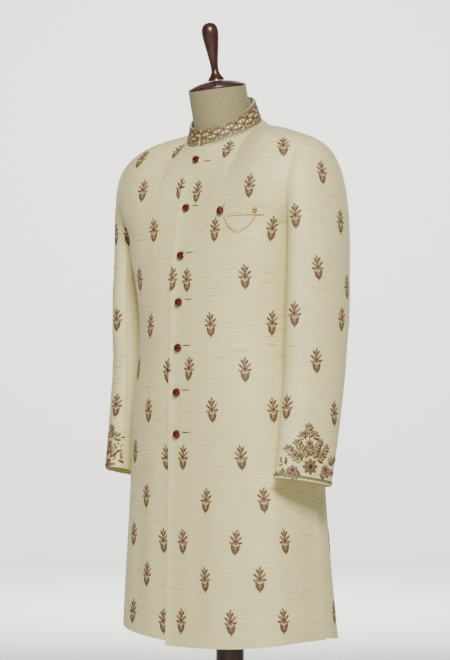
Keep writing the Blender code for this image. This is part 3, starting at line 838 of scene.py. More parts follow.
class SurfaceFinder:
    """Finds places on the finished cloth by rays."""

    def __init__(self, panels: dict[str, bpy.types.Object]) -> None:
        """Index the finished panels.

        Args:
            panels: Finished objects by the names of their CAD nodes.
        """
        depsgraph = bpy.context.evaluated_depsgraph_get()
        self.trees = {name: BVHTree.FromObject(obj, depsgraph) for name, obj in panels.items()}

    def cast(
        self, origin: Vector, direction: Vector, names: Iterable[str] | None = None
    ) -> Spot | None:
        """First cloth that a ray meets.

        Args:
            origin: Start of the ray.
            direction: Its direction.
            names: Panels that count, or all.

        Returns:
            The place, or None where the ray meets no cloth.
        """
        best: Spot | None = None
        best_distance = math.inf
        for name in names or self.trees:
            point, normal, _, distance = self.trees[name].ray_cast(origin, direction.normalized())
            if point is not None and distance < best_distance:
                if normal.dot(direction) > 0.0:
                    normal = -normal
                best_distance = distance
                best = Spot(name, point, normal)
        return best

    def near(self, spot: Spot, right: float, up: float) -> Spot | None:
        """Place beside another one on the same part of the garment.

        Args:
            spot: Known place.
            right, up: Offsets in the cloth in metres.

        Returns:
            The place on the outer side, or None beyond the cloth's edge.
        """
        target = spot.point + spot.right() * right + spot.up() * up
        group = next(group for group in PANEL_GROUPS if spot.panel in group)
        found = self.cast(target + spot.normal * NEAR_REACH, -spot.normal, group)
        if found is None or (found.point - target).length > NEAR_REACH:
            return None
        return found


@dataclass
class PhotoCamera:
    """The camera of the reference view."""

    def position(self) -> Vector:
        """Camera's place in the row frame."""
        axis = Vector((math.sin(CAMERA_AZIMUTH), -math.cos(CAMERA_AZIMUTH), 0.0))
        shift = (AXIS_COLUMN - PHOTO_WIDTH / 2.0) * CAMERA_DISTANCE / FOCAL_PIXELS
        place = axis * CAMERA_DISTANCE - self.right() * shift
        place.z = CAMERA_HEIGHT
        return place

    def right(self) -> Vector:
        """Rightward direction of the picture."""
        return Vector((math.cos(CAMERA_AZIMUTH), math.sin(CAMERA_AZIMUTH), 0.0))

    def ray(self, column: float, row: float) -> Vector:
        """Direction of the ray through a picture point.

        Args:
            column, row: Place in the picture from its upper left corner.
        """
        tilt = math.atan((HORIZON_ROW - PHOTO_HEIGHT / 2.0) / FOCAL_PIXELS)
        level = Vector((-math.sin(CAMERA_AZIMUTH), math.cos(CAMERA_AZIMUTH), 0.0))
        upright = Vector((0.0, 0.0, 1.0))
        ahead = level * math.cos(tilt) + upright * math.sin(tilt)
        up = upright * math.cos(tilt) - level * math.sin(tilt)
        sideways = self.right() * ((column - PHOTO_WIDTH / 2.0) / FOCAL_PIXELS)
        return (ahead + sideways + up * ((PHOTO_HEIGHT / 2.0 - row) / FOCAL_PIXELS)).normalized()

    def build(self) -> None:
        """Create the camera and make it the scene's."""
        data = bpy.data.cameras.new("studio_camera")
        data.sensor_fit = "VERTICAL"
        data.sensor_height = SENSOR_HEIGHT
        data.lens = FOCAL_PIXELS * SENSOR_HEIGHT / PHOTO_HEIGHT
        camera = bpy.data.objects.new("studio_camera", data)
        camera.location = self.position()
        tilt = math.atan((HORIZON_ROW - PHOTO_HEIGHT / 2.0) / FOCAL_PIXELS)
        camera.rotation_euler = (math.radians(90.0) + tilt, 0.0, CAMERA_AZIMUTH)
        bpy.context.scene.collection.objects.link(camera)
        bpy.context.scene.camera = camera


@dataclass(frozen=True)
class Lamp:
    """One soft area light.

    Attributes:
        name: Name of the lamp.
        place: Its place.
        target: Point that it faces.
        power: Power in watts.
        size: Side of the lamp.
        colour: Colour of the light as an sRGB code.
    """

    name: str
    place: tuple[float, float, float]
    target: tuple[float, float, float]
    power: float
    size: float
    colour: str

    def build(self) -> None:
        """Create the lamp."""
        data = bpy.data.lights.new(self.name, "AREA")
        data.energy = self.power
        data.size = self.size
        data.color = srgb(self.colour)[:3]
        lamp = bpy.data.objects.new(self.name, data)
        lamp.location = self.place
        ahead = Vector(self.target) - Vector(self.place)
        lamp.rotation_euler = ahead.to_track_quat("-Z", "Y").to_euler()
        lamp.visible_camera = False
        bpy.context.scene.collection.objects.link(lamp)


@dataclass
class Studio:
    """Plain pale floor, round backdrop and soft lights.

    Attributes:
        ground: Finish of floor and backdrop.
        lamps: The soft lights.
        ambient: Strength of the light from all round.
    """

    ground: bpy.types.Material
    lamps: tuple[Lamp, ...] = (
        Lamp("key_light", (2.3, -2.5, 3.1), (0.0, 0.0, 1.15), 225.0, 1.0, "#FFFCF2"),
        Lamp("fill_light", (0.6, -3.6, 1.4), (0.0, 0.0, 1.0), 4.0, 2.2, "#FFF9F0"),
        Lamp("back_light", (-1.2, 2.8, 2.4), (0.0, 0.0, 1.1), 14.0, 2.2, "#FFFFFF"),
        Lamp("backdrop_light", (-3.8, 4.6, 4.6), (-7.6, 9.2, 1.4), 1080.0, 4.0, "#FFFFFF"),
    )
    ambient: float = 0.20

    def build(self) -> None:
        """Create floor, backdrop, world and lamps."""
        bm = bmesh.new()
        bmesh.ops.create_circle(bm, cap_ends=True, segments=FLOOR_SEGMENTS, radius=WALL_RADIUS)
        floor = finished_object(bm, "studio_floor", [self.ground])
        bm = bmesh.new()
        start = Vector((math.sin(WALL_START), math.cos(WALL_START), 0.0)) * WALL_RADIUS
        foot = bmesh.ops.create_vert(bm, co=start)["vert"][0]
        bmesh.ops.spin(
            bm,
            geom=[foot],
            axis=(0.0, 0.0, 1.0),
            cent=(0.0, 0.0, 0.0),
            angle=WALL_SWEEP,
            steps=WALL_STEPS,
        )
        wall = bmesh.ops.extrude_edge_only(bm, edges=bm.edges)
        raised = [item for item in wall["geom"] if isinstance(item, bmesh.types.BMVert)]
        bmesh.ops.translate(bm, verts=raised, vec=(0.0, 0.0, WALL_HEIGHT))
        backdrop = finished_object(bm, "studio_backdrop", [self.ground])
        smooth_by_angle(backdrop, math.radians(60.0))
        world = bpy.data.worlds.new("studio_air")
        world.use_nodes = True
        background = world.node_tree.nodes["Background"]
        background.inputs["Color"].default_value = srgb("#F4F4F6")
        background.inputs["Strength"].default_value = self.ambient
        bpy.context.scene.world = world
        for lamp in self.lamps:
            lamp.build()


@dataclass(frozen=True)
class Lobe:
    """One raised patch of satin stitches.

    Attributes:
        right, up: Centre in mm from the motif's middle.
        length, width: Size in mm.
        turn: Angle of its length over the level, in degrees.
        yarn: Its thread.
        rise: Height over the cloth in mm.
    """

    right: float
    up: float
    length: float
    width: float
    turn: float
    yarn: Yarn
    rise: float = 0.9


def flower(
    right: float, up: float, radius: float, petals: int, yarn: Yarn, heart: Yarn
) -> list[Lobe]:
    """Lay out a round flower.

    Args:
        right, up: Centre in mm.
        radius: Distance of the petal tips in mm.
        petals: Number of petals.
        yarn, heart: Threads of petals and of the heart.

    Returns:
        Its lobes.
    """
    lobes = []
    width = 1.25 * math.pi * radius / petals
    for number in range(petals):
        angle = 360.0 * number / petals + 90.0
        turn = math.radians(angle)
        reach = 0.60 * radius
        place = (right + reach * math.cos(turn), up + reach * math.sin(turn))
        lobes.append(Lobe(*place, 0.80 * radius, width, angle, yarn, 1.1))
    lobes.append(Lobe(right, up, 0.68 * radius, 0.68 * radius, 0.0, heart, 1.7))
    return lobes


def spray(right: float, up: float, length: float, angle: float, bend: float) -> list[Lobe]:
    """Lay out a bent stem with paired leaves and a bud.

    Args:
        right, up: Foot of the stem in mm.
        length: Length in mm.
        angle: First direction in degrees.
        bend: Turn over the whole length in degrees.

    Returns:
        Its lobes.
    """
    lobes = []
    step = 5.4
    count = max(2, round(length / step))
    for number in range(count):
        heading = angle + bend * number / count
        turn = math.radians(heading)
        right += step * math.cos(turn)
        up += step * math.sin(turn)
        lobes.append(Lobe(right, up, step * 1.3, 1.9, heading, Yarn.BROWN, 0.8))
        leaf = 10.0 - 3.4 * number / count
        side = 1.0 if number % 2 else -1.0
        for hand, size in ((side, 1.0), (-side, 0.72)):
            out = math.radians(heading + 62.0 * hand)
            place = (right + 0.56 * leaf * math.cos(out), up + 0.56 * leaf * math.sin(out))
            yarn = Yarn.BEIGE if hand > 0 else Yarn.BROWN
            lobes.append(Lobe(*place, leaf * size, 4.2 * size, heading + 48.0 * hand, yarn))
    turn = math.radians(angle + bend)
    place = (right + 3.4 * math.cos(turn), up + 3.4 * math.sin(turn))
    lobes.append(Lobe(*place, 7.4, 4.6, angle + bend, Yarn.ROSE, 1.3))
    return lobes


BUTI = (
    Lobe(1.4, 22.6, 6.4, 3.0, 74, Yarn.BROWN),
    Lobe(0.0, 17.4, 9.6, 5.0, 92, Yarn.BEIGE, 1.2),
    Lobe(-4.4, 16.2, 9.4, 3.8, 120, Yarn.BROWN),
    Lobe(4.6, 15.8, 9.0, 3.8, 58, Yarn.BROWN),
    Lobe(0.0, 11.2, 7.6, 6.2, 90, Yarn.BRONZE, 1.1),
    Lobe(-7.8, 8.2, 9.8, 4.2, 136, Yarn.BROWN),
    Lobe(8.0, 8.8, 9.8, 4.2, 42, Yarn.BEIGE),
    *flower(0.0, 2.4, 7.4, 6, Yarn.ROSE, Yarn.DARK),
    Lobe(-8.8, -1.2, 8.4, 4.2, 158, Yarn.BEIGE),
    Lobe(8.8, -0.2, 8.4, 4.2, 18, Yarn.BROWN),
    Lobe(-5.6, -7.2, 7.6, 4.2, 140, Yarn.BROWN),
    Lobe(5.6, -7.2, 7.6, 4.2, 40, Yarn.BRONZE),
    Lobe(-5.4, -13.0, 11.4, 4.6, 112, Yarn.BROWN, 1.1),
    Lobe(5.4, -13.0, 11.4, 4.6, 68, Yarn.BROWN, 1.1),
    Lobe(0.0, -18.4, 9.4, 5.4, 0, Yarn.BROWN, 1.1),
    Lobe(0.0, -12.0, 9.2, 6.4, 90, Yarn.BEIGE, 1.4),
    Lobe(0.0, -12.4, 4.6, 3.0, 90, Yarn.ROSE, 1.9),
    Lobe(0.0, -22.6, 4.4, 2.8, 90, Yarn.BROWN),
)

CUFF_FAN = (
    *flower(0.0, -22.0, 13.0, 8, Yarn.BRONZE, Yarn.DARK),
    *flower(0.0, -22.0, 7.4, 6, Yarn.ROSE, Yarn.DARK),
    *flower(-29.0, -27.0, 8.0, 6, Yarn.ROSE, Yarn.DARK),
    *flower(29.0, -27.0, 8.0, 6, Yarn.ROSE, Yarn.DARK),
    *flower(0.0, 16.0, 7.0, 6, Yarn.BEIGE, Yarn.DARK),
    *flower(-24.0, -2.0, 5.6, 5, Yarn.BEIGE, Yarn.DARK),
    *flower(24.0, -2.0, 5.6, 5, Yarn.BEIGE, Yarn.DARK),
    *flower(-48.0, -33.0, 5.0, 5, Yarn.BEIGE, Yarn.DARK),
    *flower(48.0, -33.0, 5.0, 5, Yarn.BEIGE, Yarn.DARK),
    *spray(0.0, -8.0, 14.0, 90, 0),
    *spray(0.0, 22.0, 20.0, 90, 6),
    *spray(5.0, -11.0, 30.0, 68, -12),
    *spray(-5.0, -11.0, 30.0, 112, 12),
    *spray(10.0, -14.0, 34.0, 30, 36),
    *spray(-10.0, -14.0, 34.0, 150, -36),
    *spray(14.0, -36.0, 26.0, 6, 10),
    *spray(-14.0, -36.0, 26.0, 174, -10),
    *spray(34.0, -20.0, 22.0, 40, -30),
    *spray(-34.0, -20.0, 22.0, 140, 30),
    *spray(4.0, 22.0, 11.0, 40, 20),
    *spray(-4.0, 22.0, 11.0, 140, -20),
)

FRONT_BUTIS = (
    (141.5, 159), (178, 151), (227.7, 149), (283.3, 146), (143, 191), (181, 188),
    (197.3, 191.5), (249.3, 185.7), (154, 231), (214.8, 230), (272, 229), (139.8, 279.6),
    (172, 279), (186.7, 280.4), (245, 277), (150.6, 326), (210.6, 325), (272, 323.5),
    (138.6, 369), (167.7, 371), (189, 369), (245, 370), (148.6, 410.6), (212, 410.6),
    (273.3, 410.6), (135.3, 451.4), (166.4, 458), (183, 458), (241.3, 458), (146.4, 496),
    (206, 501), (263.8, 500.4), (133.8, 534), (163.6, 541), (182.8, 542), (235.6, 543),
    (285, 542), (146.8, 574.4), (205, 580), (259.8, 580), (133, 611.4), (163.4, 621.6),
    (181.2, 621.6), (230.6, 623.4), (283.8, 621.6),
)
SLEEVE_BUTIS = (
    (322, 172.5), (295.5, 216), (340.5, 222), (318, 268), (294.4, 314.4), (341.8, 319.4),
    (316.4, 361), (286.6, 407.3), (334.2, 414), (115.8, 234), (129.5, 234), (116.6, 320),
    (116, 405.6),
)
BUTI_ROWS = (1.481, 1.418, 1.340, 1.245, 1.155, 1.070, 0.989, 0.904, 0.816, 0.734, 0.664, 0.592)
BACK_COLUMNS = ((-0.156, -0.052, 0.052, 0.156), (-0.104, 0.104))
SIDE_COLUMNS_Y = ((-0.075,), (0.075,))
SLEEVE_BACK_ROWS = (1.43, 1.33, 1.23, 1.13, 1.03)



class Needlework:
    """Gathers raised stitches on one panel into a single piece."""


    def __init__(self, finder: SurfaceFinder, name: str, finishes: Finishes) -> None:
        """Start an empty piece of needlework.

        Args:
            finder: Finds places on the cloth.
            name: Name of the finished piece.
            finishes: Materials of the scene.
        """
        self.finder = finder
        self.name = name
        self.fullness = 1.0
        self.finishes = finishes
        self.target = bmesh.new()
        self.dome = dome_template(8, 4)

    def add_lobe(self, spot: Spot, lobe: Lobe, lean: float, hand: float) -> None:
        """Lay one lobe on the cloth.

        Args:
            spot: Middle of the motif.
            lobe: Lobe to lay.
            lean: Turn of the whole motif in degrees.
            hand: 1, or -1 for the mirrored motif.
        """
        turn = math.radians(lean)
        right = lobe.right * hand
        across = (right * math.cos(turn) - lobe.up * math.sin(turn)) * MM
        above = (right * math.sin(turn) + lobe.up * math.cos(turn)) * MM
        place = self.finder.near(spot, across, above)
        if place is None:
            return
        angle = math.radians((lobe.turn if hand > 0 else 180.0 - lobe.turn) + lean)
        along = place.right() * math.cos(angle) + place.up() * math.sin(angle)
        side = place.normal.cross(along)
        matrix = basis(
            along * (lobe.length * self.fullness * MM / 2.0),
            side * (lobe.width * self.fullness * MM / 2.0),
            place.normal * (lobe.rise * MM),
            place.point,
        )
        append_copy(self.target, self.dome, matrix, lobe.yarn.value)

    def add_motif(
        self, spot: Spot, lobes: Sequence[Lobe], lean: float = 0.0, hand: float = 1.0
    ) -> None:
        """Lay a whole motif."""
        for lobe in lobes:
            self.add_lobe(spot, lobe, lean, hand)

    def finish(self) -> bpy.types.Object:
        """Make the piece."""
        obj = finished_object(self.target, self.name, self.finishes.yarns)
        bpy.data.meshes.remove(self.dome)
        settle(obj)
        return obj


def basis(x_axis: Vector, y_axis: Vector, z_axis: Vector, place: Vector) -> Matrix:
    """Matrix that carries a template to a place."""
    return Matrix.Translation(place) @ Matrix((x_axis, y_axis, z_axis)).transposed().to_4x4()


def dome_template(around: int, rings: int) -> bpy.types.Mesh:
    """Round template of radius 1 with smooth faces.

    Args:
        around, rings: Segments round the axis and from pole to pole.
    """
    bm = bmesh.new()
    bmesh.ops.create_uvsphere(bm, u_segments=around, v_segments=rings, radius=1.0)
    for face in bm.faces:
        face.smooth = True
    mesh = bpy.data.meshes.new("dome_template")
    bm.to_mesh(mesh)
    bm.free()
    return mesh


def ring_template(radius: float, wire: float, around: int, sides: int) -> bpy.types.Mesh:
    """Ring round the Z axis, made by turning a circle.

    Args:
        radius, wire: Radius of the ring and of its wire.
        around, sides: Segments round the ring and round the wire.
    """
    bm = bmesh.new()
    turned = Matrix.Translation((radius, 0.0, 0.0)) @ Matrix.Rotation(math.pi / 2.0, 4, "X")
    circle = bmesh.ops.create_circle(
        bm, cap_ends=False, segments=sides, radius=wire, matrix=turned
    )
    edges = list({edge for vertex in circle["verts"] for edge in vertex.link_edges})
    bmesh.ops.spin(
        bm,
        geom=circle["verts"] + edges,
        axis=(0.0, 0.0, 1.0),
        cent=(0.0, 0.0, 0.0),
        angle=2.0 * math.pi,
        steps=around,
        use_merge=True,
    )
    bmesh.ops.remove_doubles(bm, verts=bm.verts, dist=wire * 0.05)
    bmesh.ops.recalc_face_normals(bm, faces=bm.faces)
    for face in bm.faces:
        face.smooth = True
    mesh = bpy.data.meshes.new("ring_template")
    bm.to_mesh(mesh)
    bm.free()
    return mesh


def append_copy(
    target: bmesh.types.BMesh, template: bpy.types.Mesh, matrix: Matrix, slot: int
) -> None:
    """Add a placed copy of a template to a growing mesh.

    Args:
        target: Mesh that grows.
        template: Mesh to copy.
        matrix: Place and size of the copy.
        slot: Material slot of its faces.
    """
    copy = template.copy()
    copy.transform(matrix)
    copy.polygons.foreach_set("material_index", [slot] * len(copy.polygons))
    target.from_mesh(copy, face_normals=False, vertex_normals=False)
    bpy.data.meshes.remove(copy)


@dataclass
class Butis:
    """Small floral sprigs in half-drop rows over the whole coat.

    Attributes:
        finder: Finds places on the cloth.
        camera: Camera of the reference view.
        spots: Middles of all sprigs so far.
    """

    finder: SurfaceFinder
    camera: PhotoCamera
    spots: list[Spot] = field(default_factory=list)

    def add(self, spot: Spot | None) -> None:
        """Keep a place unless another sprig is near."""
        if spot is None:
            return
        if any((spot.point - other.point).length < MOTIF_SPACING * 0.55 for other in self.spots):
            return
        self.spots.append(spot)

    def plan(self) -> None:
        """Find all places, first those of the view and then the hidden ones."""
        body, sleeves = PANEL_GROUPS[0], (*PANEL_GROUPS[1], *PANEL_GROUPS[2])
        eye = self.camera.position()
        for pixels, names in ((FRONT_BUTIS, body), (SLEEVE_BUTIS, sleeves)):
            for column, row in pixels:
                self.add(self.finder.cast(eye, self.camera.ray(column, row), names))
        for spot in [s for s in self.spots if s.panel in PANEL_GROUPS[1]]:
            mirrored = Vector((-1.2, spot.point.y - 0.55, spot.point.z - 0.02))
            aim = Vector((-spot.point.x, spot.point.y, spot.point.z - 0.02)) - mirrored
            self.add_spaced(self.finder.cast(mirrored, aim, PANEL_GROUPS[2]))
        for number, height in enumerate(BUTI_ROWS):
            for column in BACK_COLUMNS[number % 2]:
                self.add(self.finder.cast(Vector((column, 1.0, height)), Vector((0, -1, 0)), body))
            for side in (-1.0, 1.0):
                for depth in SIDE_COLUMNS_Y[number % 2]:
                    if height < SIDE_BUTI_TOP:
                        origin = Vector((side, depth, height))
                        self.add_spaced(self.finder.cast(origin, Vector((-side, 0, 0)), body))
        for side, group in ((1.0, PANEL_GROUPS[1]), (-1.0, PANEL_GROUPS[2])):
            for number, height in enumerate(SLEEVE_BACK_ROWS):
                centre = sleeve_centre(height, side)
                aim = Vector((side * (0.3 if number % 2 else 0.9), 1.0, 0.0))
                self.add_spaced(self.finder.cast(centre + aim * 0.4, -aim, group))

    def add_spaced(self, spot: Spot | None) -> None:
        """Keep a hidden place only at the sprigs' own spacing."""
        if spot is None:
            return
        if all((spot.point - other.point).length > MOTIF_SPACING * 1.3 for other in self.spots):
            self.spots.append(spot)

    def sew(self, work: dict[str, Needlework]) -> None:
        """Embroider all sprigs, leaning a little one way and the other."""
        for number, spot in enumerate(self.spots):
            lean = (-4.0, 3.0, -1.0, 5.0, 1.0)[number % 5]
            hand = 1.0 if number % 2 else -1.0
            work[spot.panel].add_motif(spot, BUTI, lean, hand)


@dataclass
class CollarWork:
    """Dense band of flowers and leaves round the collar.

    Attributes:
        finder: Finds places on the cloth.
        work: Needlework of the collar.
    """

    finder: SurfaceFinder
    work: Needlework

    def spot(self, turn: float) -> Spot | None:
        """Place at mid height of the band.

        Args:
            turn: Angle from the centre front towards the wearer's left.
        """
        ahead = math.cos(turn)
        height = COLLAR_MIDDLE_Z - COLLAR_TILT_RISE * ahead + COLLAR_BACK_RISE * (1.0 - ahead)
        out = Vector((math.sin(turn), -math.cos(turn), 0.0))
        centre = Vector((0.0, COLLAR_CENTRE_Y - COLLAR_MIDDLE_DEPTH, height))
        return self.finder.cast(centre + out * 0.2, -out, ("collar",))

    def sew(self) -> None:
        """Embroider the band, flowers and leaf sprays in turn."""
        count = int((2.0 * math.pi - 2.0 * COLLAR_GAP) / COLLAR_STEP)
        step = (2.0 * math.pi - 2.0 * COLLAR_GAP) / count
        for number in range(count + 1):
            turn = COLLAR_GAP + step * number
            spot = self.spot(turn)
            if spot is None:
                continue
            lean = math.degrees(math.atan(COLLAR_SLOPE * math.sin(turn)))
            side = 1.0 if number % 2 else -1.0
            petal = Yarn.ROSE if number % 3 == 0 else Yarn.BRONZE
            lobes = [
                *flower(0.0, 4.0 * side, 6.6, 6, petal, Yarn.DARK),
                Lobe(-3.4, -8.4 * side, 8.8, 4.0, 150 * side, Yarn.BROWN, 1.1),
                Lobe(4.4, -8.2 * side, 8.6, 4.0, 28 * side, Yarn.BROWN, 1.1),
                Lobe(0.6, -12.0 * side, 7.0, 3.2, 8, Yarn.BEIGE),
                Lobe(0.6, -4.4 * side, 6.4, 2.0, 70 * side, Yarn.BROWN),
                Lobe(-6.9, 0.6 * side, 8.4, 3.0, 35 * side, Yarn.BROWN, 0.8),
                Lobe(6.9, 0.6 * side, 8.4, 3.0, -35 * side, Yarn.BROWN, 0.8),
                Lobe(-6.6, 8.2 * side, 7.4, 3.6, 130 * side, Yarn.BROWN, 1.0),
                Lobe(6.6, 9.2 * side, 7.4, 3.6, 50 * side, Yarn.BEIGE, 1.0),
                Lobe(0.0, 12.6 * side, 7.0, 2.8, 0, Yarn.BROWN),
            ]
            self.work.add_motif(spot, lobes, lean)


@dataclass
class Button:
    """Faceted dark-red button in a thin gold rim.

    Attributes:
        node: Name of its CAD node.
        spot: Place of the cloth under it.
    """

    node: str
    spot: Spot

    def build(self, finishes: Finishes) -> bpy.types.Object:
        """Build the button on the cloth's own slope.

        Args:
            finishes: Materials of the scene.

        Returns:
            The finished object.
        """
        low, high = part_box(self.node)
        centre = (low + high) / 2.0
        radius = (high.z - low.z) / 2.0
        normal, up = self.spot.normal, self.spot.up()
        right = up.cross(normal)
        foot = centre - normal * (radius * 0.30)
        target = bmesh.new()
        dome = dome_template(16, 8)
        for vertex in dome.vertices:
            angle = math.atan2(vertex.co.y, vertex.co.x)
            vertex.co.xy *= 0.93 + 0.07 * math.cos(8.0 * angle)
            vertex.co.z = min(vertex.co.z, 0.88)
        dome.polygons.foreach_set("use_smooth", [False] * len(dome.polygons))
        size = radius * 1.04
        append_copy(
            target, dome, basis(right * size, up * size, normal * radius * 0.95, foot), 0
        )
        rim = ring_template(0.93, 0.06, 28, 8)
        append_copy(
            target, rim, basis(right * size, up * size, normal * size, foot - normal * radius * 0.12), 1
        )
        for template in (dome, rim):
            bpy.data.meshes.remove(template)
        obj = finished_object(target, f"{self.node}_look", [finishes.ruby, finishes.gold])
        settle(obj, [self.node])
        return obj


WELT_OUTLINE = ((230.2, 213.4), (263.4, 214.2), (263.7, 205.0), (230.6, 204.4))
BUTTONHOLES = (
    (208.0, 160.7), (195.4, 205.5), (189.2, 252.4), (188.2, 299.2), (186.6, 345.4),
    (185.6, 390.0), (185.6, 432.4),
)
BUTTONHOLE = (
    Lobe(0.0, 0.9, 22.0, 1.3, 0, Yarn.OLIVE, 0.6),
    Lobe(0.0, -0.9, 22.0, 1.3, 0, Yarn.OLIVE, 0.6),
    # The dark middle lobe is painted shade along the buttonhole's slit.
    Lobe(0.0, 0.0, 18.0, 0.8, 0, Yarn.DARK, 0.45),
    Lobe(10.8, 0.0, 3.2, 1.3, 90, Yarn.OLIVE, 0.7),
    Lobe(-10.8, 0.0, 3.2, 1.3, 90, Yarn.OLIVE, 0.7),
)


@dataclass
class Brooch:
    """Red flower with a gold back, its needle, and the small gold pin that holds the chain."""

    finder: SurfaceFinder
    finishes: Finishes

    def seat(self, node: str) -> tuple[Vector, Vector, Vector, Vector, float]:
        """Middle, right, up and normal of a node on the front, and half its height.

        Args:
            node: Name of the CAD node.
        """
        low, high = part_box(node)
        centre = (low + high) / 2.0
        origin = Vector((centre.x, -1.0, centre.z))
        spot = self.finder.cast(origin, Vector((0.0, 1.0, 0.0)), ("front_left",))
        up = spot.up()
        return centre, up.cross(spot.normal), up, spot.normal, (high.z - low.z) / 2.0

    def petals(
        self, target: bmesh.types.BMesh, node: str, rings: Sequence[tuple[int, float, float]]
    ) -> None:
        """Add rings of petals over a round back.

        Args:
            target: Mesh that grows.
            node: CAD node that gives place and size.
            rings: For each ring the petals, its radius share and its height share.
        """
        centre, right, up, normal, radius = self.seat(node)
        dome = dome_template(10, 6)
        back = basis(right * radius, up * radius, normal * radius * 0.22, centre)
        append_copy(target, dome, back, 1)
        for count, reach, height in rings:
            for number in range(count):
                angle = 2.0 * math.pi * number / count + height
                out = right * math.cos(angle) + up * math.sin(angle)
                side = normal.cross(out)
                lifted = (normal + out * 0.35 * reach).normalized()
                place = centre + out * radius * reach + normal * radius * height
                matrix = basis(
                    out * radius * 0.36, side * radius * 0.40, lifted * radius * 0.26, place
                )
                append_copy(target, dome, matrix, 0)
        bpy.data.meshes.remove(dome)

    def head(self) -> bpy.types.Object:
        """Build the flower and its needle."""
        target = bmesh.new()
        self.petals(target, "brooch_head", ((8, 0.68, 0.16), (6, 0.42, 0.34), (3, 0.14, 0.46)))
        centre, right, up, normal, radius = self.seat("brooch_head")
        along = (right * 0.32 + up).normalized()
        needle = dome_template(10, 6)
        place = centre + right * radius * 0.85 + up * radius * 1.05 - normal * 0.001
        matrix = basis(along * 0.0085, normal.cross(along) * 0.0007, normal * 0.0007, place)
        append_copy(target, needle, matrix, 1)
        bpy.data.meshes.remove(needle)
        materials = [self.finishes.ruby, self.finishes.gold]
        obj = finished_object(target, "brooch_head_look", materials)
        settle(obj, ["brooch_head"])
        return obj

    def pin(self) -> bpy.types.Object:
        """Build the small gold flower pin."""
        target = bmesh.new()
        self.petals(target, "brooch_pin", ((5, 0.60, 0.20), (1, 0.0, 0.50)))
        obj = finished_object(target, "brooch_pin_look", [self.finishes.gold, self.finishes.gold])
        settle(obj, ["brooch_pin"])
        return obj


@dataclass
class LinkChain:
    """Fine cable chain that hangs in one swag.

    Attributes:
        route: Points of its line in the row frame.
        diameter: Breadth of a link.
        pitch: Distance from link to link.
        wire: Radius of the wire.
    """

    route: tuple[tuple[float, float, float], ...] = (
        (0.1033, -0.1431, 1.3711),
        (0.1058, -0.1430, 1.3641),
        (0.1104, -0.1428, 1.3530),
        (0.1208, -0.1411, 1.3422),
        (0.1319, -0.1394, 1.3372),
        (0.1447, -0.1350, 1.3400),
        (0.1567, -0.1302, 1.3484),
        (0.1654, -0.1278, 1.3594),
        (0.1695, -0.1278, 1.3694),
    )
    diameter: float = 0.0018
    pitch: float = 0.0020
    wire: float = 0.00024

    def line(self) -> list[Vector]:
        """Even points along the rounded route."""
        knots = [Vector(point) for point in self.route]
        padded = [knots[0] * 2.0 - knots[1], *knots, knots[-1] * 2.0 - knots[-2]]
        dense: list[Vector] = []
        for a, b, c, d in zip(padded, padded[1:], padded[2:], padded[3:]):
            for part in range(16):
                t = part / 16.0
                dense.append(
                    0.5
                    * (
                        2.0 * b
                        + (c - a) * t
                        + (2.0 * a - 5.0 * b + 4.0 * c - d) * t**2
                        + (3.0 * b - a - 3.0 * c + d) * t**3
                    )
                )
        dense.append(knots[-1])
        points = [dense[0]]
        for point in dense[1:]:
            if (point - points[-1]).length >= self.pitch:
                points.append(points[-1] + (point - points[-1]).normalized() * self.pitch)
        return points

    def build(self, gold: bpy.types.Material) -> bpy.types.Object:
        """Args:
            gold: Finish of the links.
        """
        points = self.line()
        target = bmesh.new()
        radius = self.diameter / 2.0
        link = ring_template(1.0, self.wire / (radius - self.wire), 14, 6)
        for number, (start, end) in enumerate(zip(points, points[1:])):
            along = (end - start).normalized()
            level = along.cross(Vector((0.0, -1.0, 0.0))).normalized()
            other = along.cross(level)
            side, lift = (level, other) if number % 2 else (other, level)
            broad = radius - self.wire
            matrix = basis(
                along * (self.pitch / 2.0 + self.wire * 2.2), side * broad, lift * broad,
                (start + end) / 2.0,
            )
            append_copy(target, link, matrix, 0)
        bpy.data.meshes.remove(link)
        obj = finished_object(target, "brooch_chain_look", [gold])
        settle(obj, ["brooch_chain"])
        return obj


@dataclass(frozen=True)
class Cut:
    """Flat cut of one cloth piece.

    Attributes:
        node: Name of its CAD node.
        width, length: Size of the cut in metres; not used.
        area: Its area in square metres; not used.
        line: Creases that it follows.
        rests_on: Pieces that carry it; not used.
    """

    node: str
    width: float
    length: float
    area: float
    line: CutLine
    rests_on: tuple[str, ...]


CUTS = (
    Cut("front_left", 0.370, 1.060, 0.337, CutLine.BODY, ("form_torso_look",)),
    Cut("front_right", 0.360, 1.050, 0.325, CutLine.BODY, ("form_torso_look",)),
    Cut("back_left", 0.290, 1.085, 0.270, CutLine.BODY, ("form_torso_look",)),
    Cut("back_right", 0.290, 1.085, 0.265, CutLine.BODY, ("form_torso_look",)),
    Cut("sleeve_left_top", 0.250, 0.700, 0.152, CutLine.SLEEVE_LEFT, ("front_left_look",)),
    Cut("sleeve_left_under", 0.155, 0.565, 0.074, CutLine.SLEEVE_LEFT, ("back_left_look",)),
    Cut("sleeve_right_top", 0.250, 0.700, 0.152, CutLine.SLEEVE_RIGHT, ("front_right_look",)),
    Cut("sleeve_right_under", 0.155, 0.565, 0.074, CutLine.SLEEVE_RIGHT, ("back_right_look",)),
    Cut("collar", 0.465, 0.060, 0.0182, CutLine.PLAIN, ("front_left_look", "front_right_look")),
)
TURNED = (("neck_cap", "wood"), ("finial", "wood"), ("pole", "wood"), ("base", "wood"))
BRAIDS = ("collar_edge_top", "collar_edge_base", "cuff_braid_left", "cuff_braid_right")


